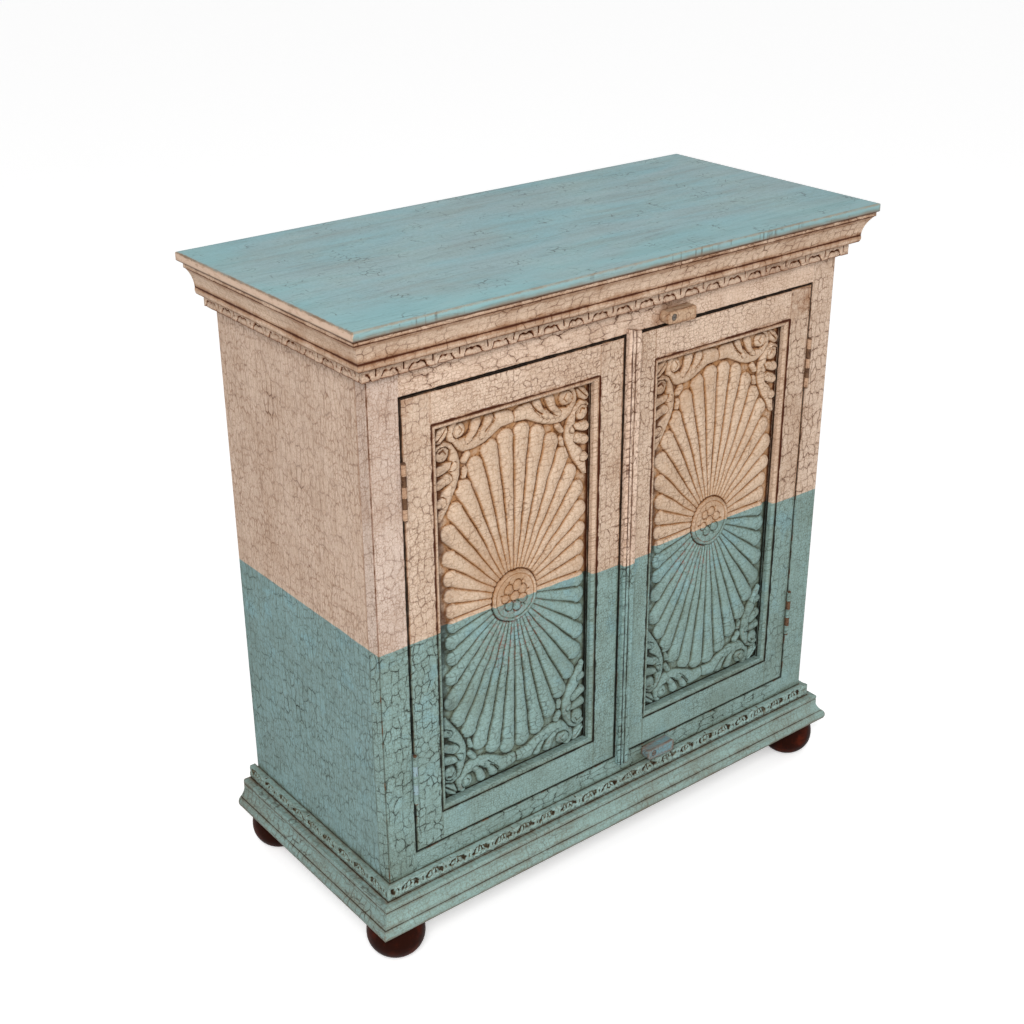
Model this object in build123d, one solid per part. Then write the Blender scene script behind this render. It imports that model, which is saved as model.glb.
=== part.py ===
"""Two-door cabinet on bun feet, with a carved sunburst panel in each door.

Millimetres. X runs left to right, Y from the front to the back, Z up.
The origin is on the floor, under the middle of the top board.
"""
from build123d import *
import math
import os

# ---------------------------------------------------------------- driving sizes
# Top board
TOP_WIDTH = 914.0
TOP_DEPTH = 427.0
TOP_THICK = 12.5
TOP_EDGE_ROUND = 2.0
SIDE_OVERHANG = 40.5
FRONT_OVERHANG = 41.0
BACK_OVERHANG = 14.0

# Heights, from the floor up
FOOT_HEIGHT = 62.0
PLINTH_HEIGHT = 44.0
BAND_HEIGHT = 20.0
LOWER_RAIL_SHOW = 31.0
DOOR_HEIGHT = 674.5
UPPER_RAIL_SHOW = 35.5
FRIEZE_HEIGHT = 17.5
CORNICE_HEIGHT = 47.0

# Carcass timber
SIDE_THICK = 20.0
BACK_THICK = 10.0
BACK_INSET = 6.0
FACE_STILE_WIDTH = 46.5
RAIL_TENON = 25.0
RAIL_TENON_THICK = 8.0
RAIL_SHOULDER = 8.0
BOTTOM_THICK = 18.0
HOUSING_DEPTH = 8.0
BACK_RAIL_THICK = 20.0
BACK_RAIL_HEIGHT = 40.0
SHELF_THICK = 16.0
SHELF_TOP = 500.0
SHELF_SETBACK = 14.0
CLEAT_SIZE = 18.0
CLEAT_SETBACK = 12.0
GLUE_BLOCK_SIZE = 30.0
GLUE_BLOCK_LENGTH = 80.0
GLUE_BLOCK_SPACING = 360.0
FOOT_BLOCK_SIZE = 70.0
FOOT_BLOCK_HEIGHT = 40.0

# Mouldings, as how far they stand out from the body
CORNICE_REACH = 37.5
CORNICE_FILLET = 6.5
CORNICE_QUIRK = 1.2
CORNICE_COVE_SAG = 2.6
BEAD_REACH = 25.0
BEAD_HEIGHT = 11.0
BEAD_GAP = 1.5
FRIEZE_REACH = 12.5
FRIEZE_BEVEL = 1.5
BAND_REACH = 10.5
BAND_BEVEL = 1.0
PLINTH_REACH = 34.0
PLINTH_TOP_REACH = 22.0
PLINTH_FILLET = 7.0
PLINTH_GROOVE = 0.9
PLINTH_STRAIGHT = 16.0
PLINTH_COVE_END = 30.0
PLINTH_COVE_SAG = 1.6
PLINTH_NOSE = 2.5
MOULDING_EDGE = 1.5

# Doors
DOOR_THICK = 22.0
DOOR_GAP = 2.0
MEETING_GAP = 2.5
MEETING_OFFSET = 1.25
STOP_GAP = 0.5
STOP_SIZE = 12.0
STOP_DROP = 8.0
LEFT_HINGE_STILE = 46.0
LEFT_MEETING_STILE = 43.0
RIGHT_MEETING_STILE = 57.0
RIGHT_HINGE_STILE = 43.0
DOOR_RAIL_WIDTH = 47.0
TENON_LENGTH = 28.0
TENON_THICK = 7.0
TENON_DEPTH = 8.0
TENON_SHOULDER = 6.0
MORTISE_END_GAP = 0.5
EDGE_EASE = 1.0
PEG_RADIUS = 3.5

# Door panel and its bead
PANEL_DEPTH = 14.0
PANEL_THICK = 8.0
TONGUE_THICK = 4.0
TONGUE_LENGTH = 8.0
TONGUE_SET = 1.5
GROOVE_SPARE = 1.0
PANEL_EDGE_GAP = 0.5
PANEL_BEAD_WIDTH = 6.5
PANEL_BEAD_SET = 0.8
PANEL_BEAD_ROUND = 2.6

# Carving on the panel
BOSS_RADIUS = 38.5
BOSS_HEIGHT = 4.5
BOSS_RIM = 8.0
BOSS_DISH = 1.6
BOSS_BUTTON = 9.0
PETAL_COUNT = 40
PETAL_SPREAD = 0.72
PETAL_FILL = 0.94
PETAL_HEIGHT = 4.5
PETAL_ROOT = 33.0
PETAL_BED = 1.0
PETAL_SHOULDER = 0.5
PETAL_END = 0.4
OVAL_HALF_WIDTH = 140.0
OVAL_HALF_HEIGHT = 255.0
PETAL_EDGE_GAP = 1.0
SPANDREL_HEIGHT = 3.5
SPANDREL_GAP = 3.0
SPANDREL_MARGIN = 3.0

# Cover strip on the right door
STRIP_WIDTH = 21.0
STRIP_REACH = 10.5
STRIP_ABOVE = 11.0
STRIP_BELOW = 12.0
STRIP_SLOPE = 5.0
STRIP_RELIEF = 0.6
STRIP_ROUND = 2.5
STRIP_QUIRK_WIDTH = 1.6
STRIP_QUIRK_DEPTH = 2.0
STRIP_QUIRK_PLACE = 9.3

# Butt hinges
HINGE_HEIGHT = 76.0
HINGE_FROM_END = 122.0
KNUCKLE_COUNT = 5
KNUCKLE_GAP = 0.3
BARREL_RADIUS = 3.4
BARREL_STAND_OFF = 0.2
PIN_RADIUS = 1.6
PIN_CLEARANCE = 0.05
FINIAL_RADIUS = 2.7
FINIAL_HEIGHT = 2.0
LEAF_THICK = 1.5
LEAF_GAP = 0.4
LEAF_DEPTH = 18.0
KNUCKLE_NOTCH = 0.3
HINGE_SCREW_RADIUS = 1.5
HINGE_SCREW_HEAD = 3.0
HINGE_SCREW_LENGTH = 14.0
HINGE_SCREWS_PER_LEAF = 3
HINGE_SCREW_PITCH = 26.0
HINGE_SCREW_BACK = 10.0

# Wooden turn-buttons on the rails
TOP_BUTTON_X = 72.0
TOP_BUTTON_ABOVE = 13.7
BOTTOM_BUTTON_X = 67.0
BOTTOM_BUTTON_BELOW = 12.0
BUTTON_LONG_ARM = 41.0
BUTTON_SHORT_ARM = 13.0
BUTTON_WIDTH = 20.0
BUTTON_ROOT_WIDTH = 17.0
BUTTON_THICK = 16.0
BUTTON_ROUND = 3.0
BUTTON_AXIAL_GAP = 0.2
WASHER_THICK = 1.0
WASHER_RADIUS = 7.0
BUTTON_SCREW_RADIUS = 2.2
BUTTON_SCREW_CLEARANCE = 0.08
BUTTON_SCREW_HEAD = 4.2
BUTTON_SCREW_HEAD_THICK = 2.4
BUTTON_SCREW_SLOT = 0.9
BUTTON_SCREW_GRIP = 14.0
COUNTERBORE_RADIUS = 5.2
COUNTERBORE_DEPTH = 3.0

# Bun feet
FOOT_RADIUS = 42.0
FOOT_WIDEST = 33.0
FOOT_TOP_RADIUS = 34.0
FOOT_BASE_RADIUS = 14.0
FOOT_LOWER_FULLNESS = 7.5
FOOT_UPPER_FULLNESS = 2.4
FOOT_INSET_SIDE = 12.5
FOOT_INSET_FRONT = 9.0
FOOT_INSET_BACK = 42.0
BOLT_RADIUS = 4.0
BOLT_IN_FOOT = 25.0
BOLT_IN_BODY = 32.0

# ---------------------------------------------------------------- derived places
BODY_HALF = TOP_WIDTH / 2 - SIDE_OVERHANG
INNER_HALF = BODY_HALF - SIDE_THICK
OPENING_HALF = BODY_HALF - FACE_STILE_WIDTH
Y_FACE = FRONT_OVERHANG - TOP_DEPTH / 2
Y_DOOR_BACK = Y_FACE + DOOR_THICK
Y_FRAME_BACK = Y_DOOR_BACK + STOP_GAP
Y_BACK = TOP_DEPTH / 2 - BACK_OVERHANG
Y_BACK_INNER = Y_BACK - BACK_THICK

Z_BODY = FOOT_HEIGHT
Z_BAND = Z_BODY + PLINTH_HEIGHT
Z_LOWER_RAIL = Z_BAND + BAND_HEIGHT
Z_OPENING = Z_LOWER_RAIL + LOWER_RAIL_SHOW
Z_DOOR = Z_OPENING + DOOR_GAP
Z_DOOR_TOP = Z_DOOR + DOOR_HEIGHT
Z_OPENING_TOP = Z_DOOR_TOP + DOOR_GAP
Z_FRIEZE = Z_OPENING_TOP + UPPER_RAIL_SHOW
Z_CORNICE = Z_FRIEZE + FRIEZE_HEIGHT
Z_TOP_BOARD = Z_CORNICE + CORNICE_HEIGHT
Z_TOP = Z_TOP_BOARD + TOP_THICK

LEFT_DOOR_X = (-OPENING_HALF + DOOR_GAP, -MEETING_OFFSET - MEETING_GAP / 2)
RIGHT_DOOR_X = (-MEETING_OFFSET + MEETING_GAP / 2, OPENING_HALF - DOOR_GAP)
PIN_Y = Y_FACE - BARREL_RADIUS - BARREL_STAND_OFF
PIN_X = OPENING_HALF - DOOR_GAP / 2
HINGE_CENTRES = (Z_DOOR + HINGE_FROM_END, Z_DOOR_TOP - HINGE_FROM_END)
FAR = 4 * (TOP_WIDTH + TOP_DEPTH)


# ---------------------------------------------------------------- shape helpers
def block(x, y, z):
    """A box from three (low, high) pairs."""
    centre = [(low + high) / 2 for low, high in (x, y, z)]
    return Pos(*centre) * Box(*[high - low for low, high in (x, y, z)])


def outline(start, *steps):
    """A closed flat face: a step is an end point, or (middle, end) for an arc."""
    edges, here = [], start
    for step in steps:
        if isinstance(step[0], tuple):
            edges.append(ThreePointArc(here, step[0], step[1]))
            here = step[1]
        else:
            edges.append(Line(here, step))
            here = step
    if here != start:
        edges.append(Line(here, start))
    return make_face(edges)


def sagged(start, end, sag):
    """The middle point of an arc from start to end that bows by sag to its right."""
    (x0, y0), (x1, y1) = start, end
    length = math.hypot(x1 - x0, y1 - y0)
    return ((x0 + x1) / 2 + sag * (y1 - y0) / length, (y0 + y1) / 2 - sag * (x1 - x0) / length)


def rod_y(radius, x, z, y0, y1):
    """A round rod along Y."""
    return Pos(x, (y0 + y1) / 2, z) * Rot(90, 0, 0) * Cylinder(radius, y1 - y0)


def rod_x(radius, y, z, x0, x1):
    """A round rod along X."""
    return Pos((x0 + x1) / 2, y, z) * Rot(0, 90, 0) * Cylinder(radius, abs(x1 - x0))


def rod_z(radius, x, y, z0, z1):
    """A round rod along Z."""
    return Pos(x, y, (z0 + z1) / 2) * Cylinder(radius, z1 - z0)


def flared(x, z, y, back, front):
    """A block between two depths whose outline grows by back and front at its two ends."""
    faces = []
    for depth, grow in ((y[1], back), (y[0], front)):
        ring = Polyline((x[0] - grow, z[0] - grow), (x[1] + grow, z[0] - grow),
                        (x[1] + grow, z[1] + grow), (x[0] - grow, z[1] + grow), close=True)
        faces.append(Plane(origin=(0, depth, 0), x_dir=(1, 0, 0), z_dir=(0, -1, 0)) * make_face(ring))
    return loft(faces, ruled=True)


def opening_ease(x, z):
    """What easing the front edge of a rectangular opening takes away."""
    return flared(x, z, (Y_FACE, Y_FACE + EDGE_EASE), 0, EDGE_EASE)


def outer_ease(x, z):
    """What easing the front edge of a rectangular frame's outside takes away."""
    y = (Y_FACE, Y_FACE + EDGE_EASE)
    around = [(low - EDGE_EASE, high + EDGE_EASE) for low, high in (x, z)]
    return block(around[0], y, around[1]) - flared(x, z, y, 0, -EDGE_EASE)


def group(solids):
    """Several separate solids in one node."""
    return Compound(children=[piece.solid() for piece in solids])


def save(name, shape):
    """Write one node."""
    export_step(shape, os.path.join("parts", name + ".step"))


# ---------------------------------------------------------------- mouldings
def mitre_plane(side):
    """The upright 45 degree plane at a front corner, facing the front moulding."""
    return Plane(origin=(side * BODY_HALF, Y_FACE, 0), z_dir=(-side, -1, 0))


def front_moulding(profile, z):
    """Run a profile of (reach, height) points across the front, mitred at both ends."""
    plane = Plane(origin=(0, Y_FACE, z), x_dir=(0, -1, 0), z_dir=(-1, 0, 0))
    run = extrude(plane * profile, BODY_HALF + FAR, both=True)
    for side in (-1, 1):
        run = split(run, bisect_by=mitre_plane(side), keep=Keep.TOP)
    return run


def side_moulding(profile, z, side):
    """Run the same profile along one side, from its mitre to the back."""
    plane = Plane(origin=(side * BODY_HALF, Y_BACK, z), x_dir=(side, 0, 0), z_dir=(0, -side, 0))
    run = extrude(plane * profile, side * FAR)
    return split(run, bisect_by=mitre_plane(side), keep=Keep.BOTTOM)


def mitred_set(name, profile, z):
    """The front, left and right lengths of one moulding."""
    save(name + "_front", front_moulding(profile, z))
    save(name + "_left", side_moulding(profile, z, -1))
    save(name + "_right", side_moulding(profile, z, 1))


def cornice_profile():
    """A fillet, a cove and a bead under the top board; height 0 is the bottom."""
    top = CORNICE_HEIGHT
    cove_start = (CORNICE_REACH - CORNICE_QUIRK, top - CORNICE_FILLET)
    cove_end = (BEAD_REACH - CORNICE_QUIRK, BEAD_HEIGHT + BEAD_GAP)
    bead_top = (BEAD_REACH - CORNICE_QUIRK, BEAD_HEIGHT)
    bead_low = (BEAD_REACH - CORNICE_QUIRK - BEAD_GAP, BEAD_GAP)
    return outline(
        (0, 0), (0, top), (CORNICE_REACH, top), (CORNICE_REACH, top - CORNICE_FILLET),
        cove_start, (sagged(cove_start, cove_end, CORNICE_COVE_SAG), cove_end),
        bead_top, (sagged(bead_top, bead_low, -CORNICE_QUIRK), bead_low), (FRIEZE_REACH, 0))


def frieze_profile():
    """A flat band with its lower edge bevelled."""
    return outline((0, 0), (0, FRIEZE_HEIGHT), (FRIEZE_REACH, FRIEZE_HEIGHT),
                   (FRIEZE_REACH, FRIEZE_BEVEL), (FRIEZE_REACH - FRIEZE_BEVEL, 0))


def band_profile():
    """The carved band over the plinth, with its upper edge bevelled."""
    return outline((0, 0), (0, BAND_HEIGHT), (BAND_REACH - BAND_BEVEL, BAND_HEIGHT),
                   (BAND_REACH, BAND_HEIGHT - BAND_BEVEL), (BAND_REACH, 0))


def plinth_profile():
    """A fillet, a cove and a rounded nose; height 0 is the bottom."""
    top = PLINTH_HEIGHT
    groove = (PLINTH_TOP_REACH - PLINTH_GROOVE, top - PLINTH_FILLET)
    cove_start = (PLINTH_TOP_REACH, top - PLINTH_STRAIGHT)
    cove_end = (PLINTH_REACH - PLINTH_NOSE, top - PLINTH_COVE_END)
    nose_end = (PLINTH_REACH - MOULDING_EDGE, 0)
    return outline(
        (0, 0), (0, top), (PLINTH_TOP_REACH - MOULDING_EDGE, top),
        (PLINTH_TOP_REACH, top - MOULDING_EDGE),
        (PLINTH_TOP_REACH, top - PLINTH_FILLET + PLINTH_GROOVE), groove,
        (PLINTH_TOP_REACH, top - PLINTH_FILLET - PLINTH_GROOVE), cove_start,
        (sagged(cove_start, cove_end, PLINTH_COVE_SAG), cove_end),
        ((PLINTH_REACH, (top - PLINTH_COVE_END) / 2), nose_end))


# ---------------------------------------------------------------- carcass
def top_board():
    """The top, with its edges eased."""
    board = block((-TOP_WIDTH / 2, TOP_WIDTH / 2), (-TOP_DEPTH / 2, TOP_DEPTH / 2),
                  (Z_TOP_BOARD, Z_TOP))
    return fillet(board.edges().filter_by(Axis.Z, reverse=True), TOP_EDGE_ROUND)


def foot_places():
    """The four feet as (name, x, y)."""
    places = []
    for side_name, side in (("left", -1), ("right", 1)):
        x = side * (BODY_HALF - FOOT_INSET_SIDE)
        places.append(("foot_front_" + side_name, x, Y_FACE + FOOT_INSET_FRONT))
        places.append(("foot_back_" + side_name, x, Y_BACK - FOOT_INSET_BACK))
    return places


def foot_bolt(x, y):
    """A bolt that joins one foot to the carcass above it."""
    return rod_z(BOLT_RADIUS, x, y, Z_BODY - BOLT_IN_FOOT, Z_BODY + BOLT_IN_BODY)


def foot_bolts():
    """The four foot bolts."""
    return [foot_bolt(x, y) for _, x, y in foot_places()]


def foot(x, y):
    """A turned bun foot, bored for its bolt."""
    base, waist = (FOOT_BASE_RADIUS, 0), (FOOT_RADIUS, FOOT_WIDEST)
    top = (FOOT_TOP_RADIUS, FOOT_HEIGHT)
    face = outline((0, 0), base, (sagged(base, waist, FOOT_LOWER_FULLNESS), waist),
                   (sagged(waist, top, FOOT_UPPER_FULLNESS), top), (0, FOOT_HEIGHT))
    bun = revolve(Plane.XZ * face, Axis.Z)
    return Pos(x, y, 0) * bun - foot_bolt(x, y)


def side_board(side):
    """A side board, housed for the bottom board."""
    inner, outer = sorted((side * INNER_HALF, side * BODY_HALF))
    board = block((inner, outer), (Y_FRAME_BACK, Y_BACK_INNER), (Z_BODY, Z_TOP_BOARD))
    return board - bottom_board() - group(foot_bolts())


def bottom_board():
    """The bottom board, level with the opening and let into both sides."""
    reach = INNER_HALF + HOUSING_DEPTH
    return block((-reach, reach), (Y_FRAME_BACK, Y_BACK_INNER),
                 (Z_OPENING - BOTTOM_THICK, Z_OPENING))


def rail_tenons(z, grow=0.0):
    """The two tenons of a face rail; grow deepens them for the mortises."""
    middle = (Y_FACE + Y_FRAME_BACK) / 2
    reach = OPENING_HALF + RAIL_TENON + grow
    return block((-reach, reach), (middle - RAIL_TENON_THICK / 2, middle + RAIL_TENON_THICK / 2),
                 (z[0] + RAIL_SHOULDER, z[1] - RAIL_SHOULDER))


LOWER_RAIL_Z = (Z_BODY, Z_OPENING)
UPPER_RAIL_Z = (Z_OPENING_TOP, Z_TOP_BOARD)


def frame_ease():
    """The eased edges of the face frame, round its opening and down its corners."""
    opening = opening_ease((-OPENING_HALF, OPENING_HALF), (Z_OPENING, Z_OPENING_TOP))
    return opening + outer_ease((-BODY_HALF, BODY_HALF), (-FAR, FAR))


def face_stile(side):
    """An upright of the face frame, with its mortises and hinge recesses."""
    x = sorted((side * OPENING_HALF, side * BODY_HALF))
    stile = block(x, (Y_FACE, Y_FRAME_BACK), (Z_BODY, Z_TOP_BOARD))
    for z in (LOWER_RAIL_Z, UPPER_RAIL_Z):
        stile -= rail_tenons(z, MORTISE_END_GAP)
    for z in HINGE_CENTRES:
        stile -= leaf_plate(side, z, -1)
        stile -= group(hinge_screws(side, z, -1))
    return stile - group(foot_bolts()) - frame_ease()


def face_rail(z):
    """A face rail with a tenon at each end."""
    rail = block((-OPENING_HALF, OPENING_HALF), (Y_FACE, Y_FRAME_BACK), z)
    return rail + rail_tenons(z) - group(button_screws()) - frame_ease()


def back_panel():
    """The back board, inside the line of the sides."""
    half = BODY_HALF - BACK_INSET
    return block((-half, half), (Y_BACK_INNER, Y_BACK), (Z_BODY, Z_TOP_BOARD))


def back_rail(z):
    """A rail between the sides, against the back."""
    return block((-INNER_HALF, INNER_HALF), (Y_BACK_INNER - BACK_RAIL_THICK, Y_BACK_INNER), z)


def shelf():
    """A loose shelf on cleats."""
    return block((-INNER_HALF, INNER_HALF), (Y_FRAME_BACK + SHELF_SETBACK, Y_BACK_INNER),
                 (SHELF_TOP - SHELF_THICK, SHELF_TOP))


def shelf_cleats():
    """Cleats under the shelf, on both sides and along the back."""
    z = (SHELF_TOP - SHELF_THICK - CLEAT_SIZE, SHELF_TOP - SHELF_THICK)
    front = Y_FRAME_BACK + SHELF_SETBACK + CLEAT_SETBACK
    cleats = [block(sorted((side * (INNER_HALF - CLEAT_SIZE), side * INNER_HALF)),
                    (front, Y_BACK_INNER), z) for side in (-1, 1)]
    long = INNER_HALF - CLEAT_SIZE
    cleats.append(block((-long, long), (Y_BACK_INNER - CLEAT_SIZE, Y_BACK_INNER), z))
    return cleats


def glue_blocks():
    """Blocks that hold the top board to the upper rail and the sides."""
    half, size = GLUE_BLOCK_LENGTH / 2, GLUE_BLOCK_SIZE
    z = (Z_TOP_BOARD - size, Z_TOP_BOARD)
    blocks = []
    for side in (-1, 1):
        x = side * GLUE_BLOCK_SPACING / 2
        blocks.append(block((x - half, x + half), (Y_FRAME_BACK, Y_FRAME_BACK + size), z))
        middle = (Y_FRAME_BACK + Y_BACK_INNER) / 2
        blocks.append(block(sorted((side * (INNER_HALF - size), side * INNER_HALF)),
                            (middle - half, middle + half), z))
    return blocks


def foot_blocks():
    """Corner blocks over the feet."""
    blocks = []
    rear = Y_BACK_INNER - BACK_RAIL_THICK
    for side in (-1, 1):
        x = sorted((side * (INNER_HALF - FOOT_BLOCK_SIZE), side * INNER_HALF))
        for y in ((Y_FRAME_BACK, Y_FRAME_BACK + FOOT_BLOCK_SIZE), (rear - FOOT_BLOCK_SIZE, rear)):
            blocks.append(block(x, y, (Z_BODY, Z_BODY + FOOT_BLOCK_HEIGHT)))
    return blocks


def door_stops():
    """Battens behind the doors: one on the bottom board, one behind the upper rail."""
    y = (Y_FRAME_BACK, Y_FRAME_BACK + STOP_SIZE)
    lower = block((-OPENING_HALF, OPENING_HALF), y, (Z_OPENING, Z_OPENING + STOP_DROP))
    upper = block((-OPENING_HALF, OPENING_HALF), y,
                  (Z_OPENING_TOP - STOP_DROP, Z_OPENING_TOP + STOP_SIZE))
    return [lower, upper]


# ---------------------------------------------------------------- hinges
def knuckle_spans(z, leaf):
    """The heights of one leaf's knuckles: the frame leaf (-1) has the outer ones."""
    pitch, low = HINGE_HEIGHT / KNUCKLE_COUNT, z - HINGE_HEIGHT / 2
    spans = []
    for i in range(0 if leaf < 0 else 1, KNUCKLE_COUNT, 2):
        start = low + i * pitch + (KNUCKLE_GAP / 2 if i > 0 else 0)
        end = low + (i + 1) * pitch - (KNUCKLE_GAP / 2 if i < KNUCKLE_COUNT - 1 else 0)
        spans.append((start, end))
    return spans


def leaf_plate(side, z, leaf):
    """The flat of a leaf; leaf is -1 on the frame and 1 on the door."""
    inward = -side * leaf
    x = sorted((side * PIN_X + inward * LEAF_GAP / 2,
                side * PIN_X + inward * (LEAF_GAP / 2 + LEAF_THICK)))
    return block(x, (PIN_Y, Y_FACE + LEAF_DEPTH), (z - HINGE_HEIGHT / 2, z + HINGE_HEIGHT / 2))


def hinge_leaf(side, z, leaf):
    """One leaf: its plate and knuckles, bored for the pin and the screws."""
    shape = leaf_plate(side, z, leaf)
    for low, high in knuckle_spans(z, -leaf):
        shape -= rod_z(BARREL_RADIUS + KNUCKLE_NOTCH, side * PIN_X, PIN_Y,
                       low - KNUCKLE_GAP, high + KNUCKLE_GAP)
    for low, high in knuckle_spans(z, leaf):
        shape += rod_z(BARREL_RADIUS, side * PIN_X, PIN_Y, low, high)
    bore = rod_z(PIN_RADIUS + PIN_CLEARANCE, side * PIN_X, PIN_Y,
                 z - HINGE_HEIGHT / 2, z + HINGE_HEIGHT / 2)
    return shape - bore - group(hinge_screws(side, z, leaf))


def hinge_screws(side, z, leaf):
    """The countersunk screws of one leaf."""
    inward = -side * leaf
    face_x = side * PIN_X + inward * LEAF_GAP / 2
    y = Y_FACE + HINGE_SCREW_BACK
    screws = []
    for i in range(HINGE_SCREWS_PER_LEAF):
        height = z + (i - (HINGE_SCREWS_PER_LEAF - 1) / 2) * HINGE_SCREW_PITCH
        shank = rod_x(HINGE_SCREW_RADIUS, y, height, face_x, face_x + inward * HINGE_SCREW_LENGTH)
        head = Pos(face_x + inward * LEAF_THICK / 2, y, height) * Rot(0, inward * 90, 0) * Cone(
            HINGE_SCREW_HEAD, HINGE_SCREW_RADIUS, LEAF_THICK)
        screws.append(shank + head)
    return screws


def hinge_pin(side, z):
    """A pin with a small finial at each end."""
    low, high = z - HINGE_HEIGHT / 2, z + HINGE_HEIGHT / 2
    pin = rod_z(PIN_RADIUS, side * PIN_X, PIN_Y, low, high)
    for start, end in ((low - FINIAL_HEIGHT, low), (high, high + FINIAL_HEIGHT)):
        pin += rod_z(FINIAL_RADIUS, side * PIN_X, PIN_Y, start, end)
    return pin


# ---------------------------------------------------------------- doors
class Door:
    """The places of one door; hinge_side is -1 for the left door."""

    def __init__(self, x, hinge_side, left_stile, right_stile):
        self.x = x
        self.hinge_side = hinge_side
        self.open_x = (x[0] + left_stile, x[1] - right_stile)
        self.open_z = (Z_DOOR + DOOR_RAIL_WIDTH, Z_DOOR_TOP - DOOR_RAIL_WIDTH)
        self.centre = (sum(self.open_x) / 2, sum(self.open_z) / 2)

    def tenon_z(self, upper):
        """The height range of the upper or lower rail's tenons."""
        if upper:
            return (self.open_z[1] + TONGUE_LENGTH + GROOVE_SPARE, Z_DOOR_TOP - TENON_SHOULDER)
        return (Z_DOOR + TENON_SHOULDER, self.open_z[0] - TONGUE_LENGTH - GROOVE_SPARE)

    def tenons(self, upper, grow=0.0):
        """Both tenons of a rail as one bar."""
        reach = TENON_LENGTH + grow
        return block((self.open_x[0] - reach, self.open_x[1] + reach),
                     (Y_FACE + TENON_DEPTH, Y_FACE + TENON_DEPTH + TENON_THICK),
                     self.tenon_z(upper))

    def pegs(self):
        """A peg through each tenon, driven from the back."""
        places = []
        for upper in (False, True):
            z = sum(self.tenon_z(upper)) / 2
            for x, way in ((self.open_x[0], -1), (self.open_x[1], 1)):
                places.append(rod_y(PEG_RADIUS, x + way * TENON_LENGTH / 2, z,
                                    Y_FACE + TENON_DEPTH, Y_DOOR_BACK))
        return places

    def groove(self):
        """The panel groove round the inside of the frame."""
        spread = TONGUE_LENGTH + GROOVE_SPARE
        start = Y_FACE + PANEL_DEPTH + TONGUE_SET
        return block((self.open_x[0] - spread, self.open_x[1] + spread),
                     (start, start + TONGUE_THICK),
                     (self.open_z[0] - spread, self.open_z[1] + spread))

    def ease(self):
        """The eased front edges, outside and round the panel."""
        outside = outer_ease(self.x, (Z_DOOR, Z_DOOR_TOP))
        return outside + opening_ease(self.open_x, self.open_z)

    def stile(self, side):
        """The left (-1) or right (1) upright."""
        x = (self.x[0], self.open_x[0]) if side < 0 else (self.open_x[1], self.x[1])
        shape = block(x, (Y_FACE, Y_DOOR_BACK), (Z_DOOR, Z_DOOR_TOP)) - self.groove()
        for upper in (False, True):
            shape -= self.tenons(upper, MORTISE_END_GAP)
        shape -= group(self.pegs()) + self.ease()
        if side == self.hinge_side:
            for z in HINGE_CENTRES:
                shape -= leaf_plate(side, z, 1)
                shape -= group(hinge_screws(side, z, 1))
        return shape

    def rail(self, upper):
        """The upper or lower rail."""
        z = (self.open_z[1], Z_DOOR_TOP) if upper else (Z_DOOR, self.open_z[0])
        shape = block(self.open_x, (Y_FACE, Y_DOOR_BACK), z) - self.groove()
        return shape + self.tenons(upper) - group(self.pegs()) - self.ease()

    def bead(self):
        """Four mitred beads that cover the joint of frame and panel."""
        x, z = self.open_x, self.open_z
        back = Y_FACE + PANEL_DEPTH
        front, width = Y_FACE + PANEL_BEAD_SET, PANEL_BEAD_WIDTH
        beads = []
        for turn in range(4):
            half_run = (z[1] - z[0]) / 2 if turn % 2 else (x[1] - x[0]) / 2
            edge = (x[1] - x[0]) / 2 if turn % 2 else (z[1] - z[0]) / 2
            section = outline((edge, back), (edge, front), (edge - width + PANEL_BEAD_ROUND, front),
                              (edge - width, front + PANEL_BEAD_ROUND), (edge - width, back))
            upright = Plane(origin=(0, 0, 0), x_dir=(0, 0, 1), z_dir=(-1, 0, 0))
            run = extrude(upright * section, half_run, both=True)
            for way in (-1, 1):
                cut = Plane(origin=(way * half_run, 0, edge), z_dir=(-way, 0, 1))
                run = split(run, bisect_by=cut, keep=Keep.TOP)
            beads.append(Pos(self.centre[0], 0, self.centre[1]) * Rot(0, turn * 90, 0) * run)
        return beads


# ---------------------------------------------------------------- carved panel
def petal_rays(edge):
    """Each petal as (angle from upright, half-width slope, distance of its tip's centre)."""
    step = 2 * math.pi / PETAL_COUNT
    rays = []
    for i in range(PETAL_COUNT):
        turn = (i + 0.5) * step
        angle = math.atan2(PETAL_SPREAD * math.sin(turn), math.cos(turn))
        pitch = PETAL_SPREAD * step / (
            math.cos(turn) ** 2 + (PETAL_SPREAD * math.sin(turn)) ** 2)
        slope = PETAL_FILL * math.tan(pitch / 2)
        oval = 1 / math.hypot(math.sin(angle) / OVAL_HALF_WIDTH, math.cos(angle) / OVAL_HALF_HEIGHT)
        tip = min(oval / (1 + slope), edge / (abs(math.sin(angle)) + slope))
        rays.append((angle, slope, tip))
    return rays


def petal(slope, tip):
    """One petal along +Z, rising towards -Y: three sections, the last one low and narrow."""
    tip_width = tip * slope
    stations = ((PETAL_ROOT, PETAL_ROOT / tip), (tip, 1.0), (tip + tip_width, PETAL_END))
    sections = []
    for distance, share in stations:
        half, height = tip_width * share, PETAL_HEIGHT * share
        shoulder = half * PETAL_SHOULDER
        ring = Polyline((half, PETAL_BED), (shoulder, -height), (-shoulder, -height),
                        (-half, PETAL_BED), close=True)
        sections.append(Pos(0, 0, distance) * make_face(ring))
    return loft(sections, ruled=True)


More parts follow.
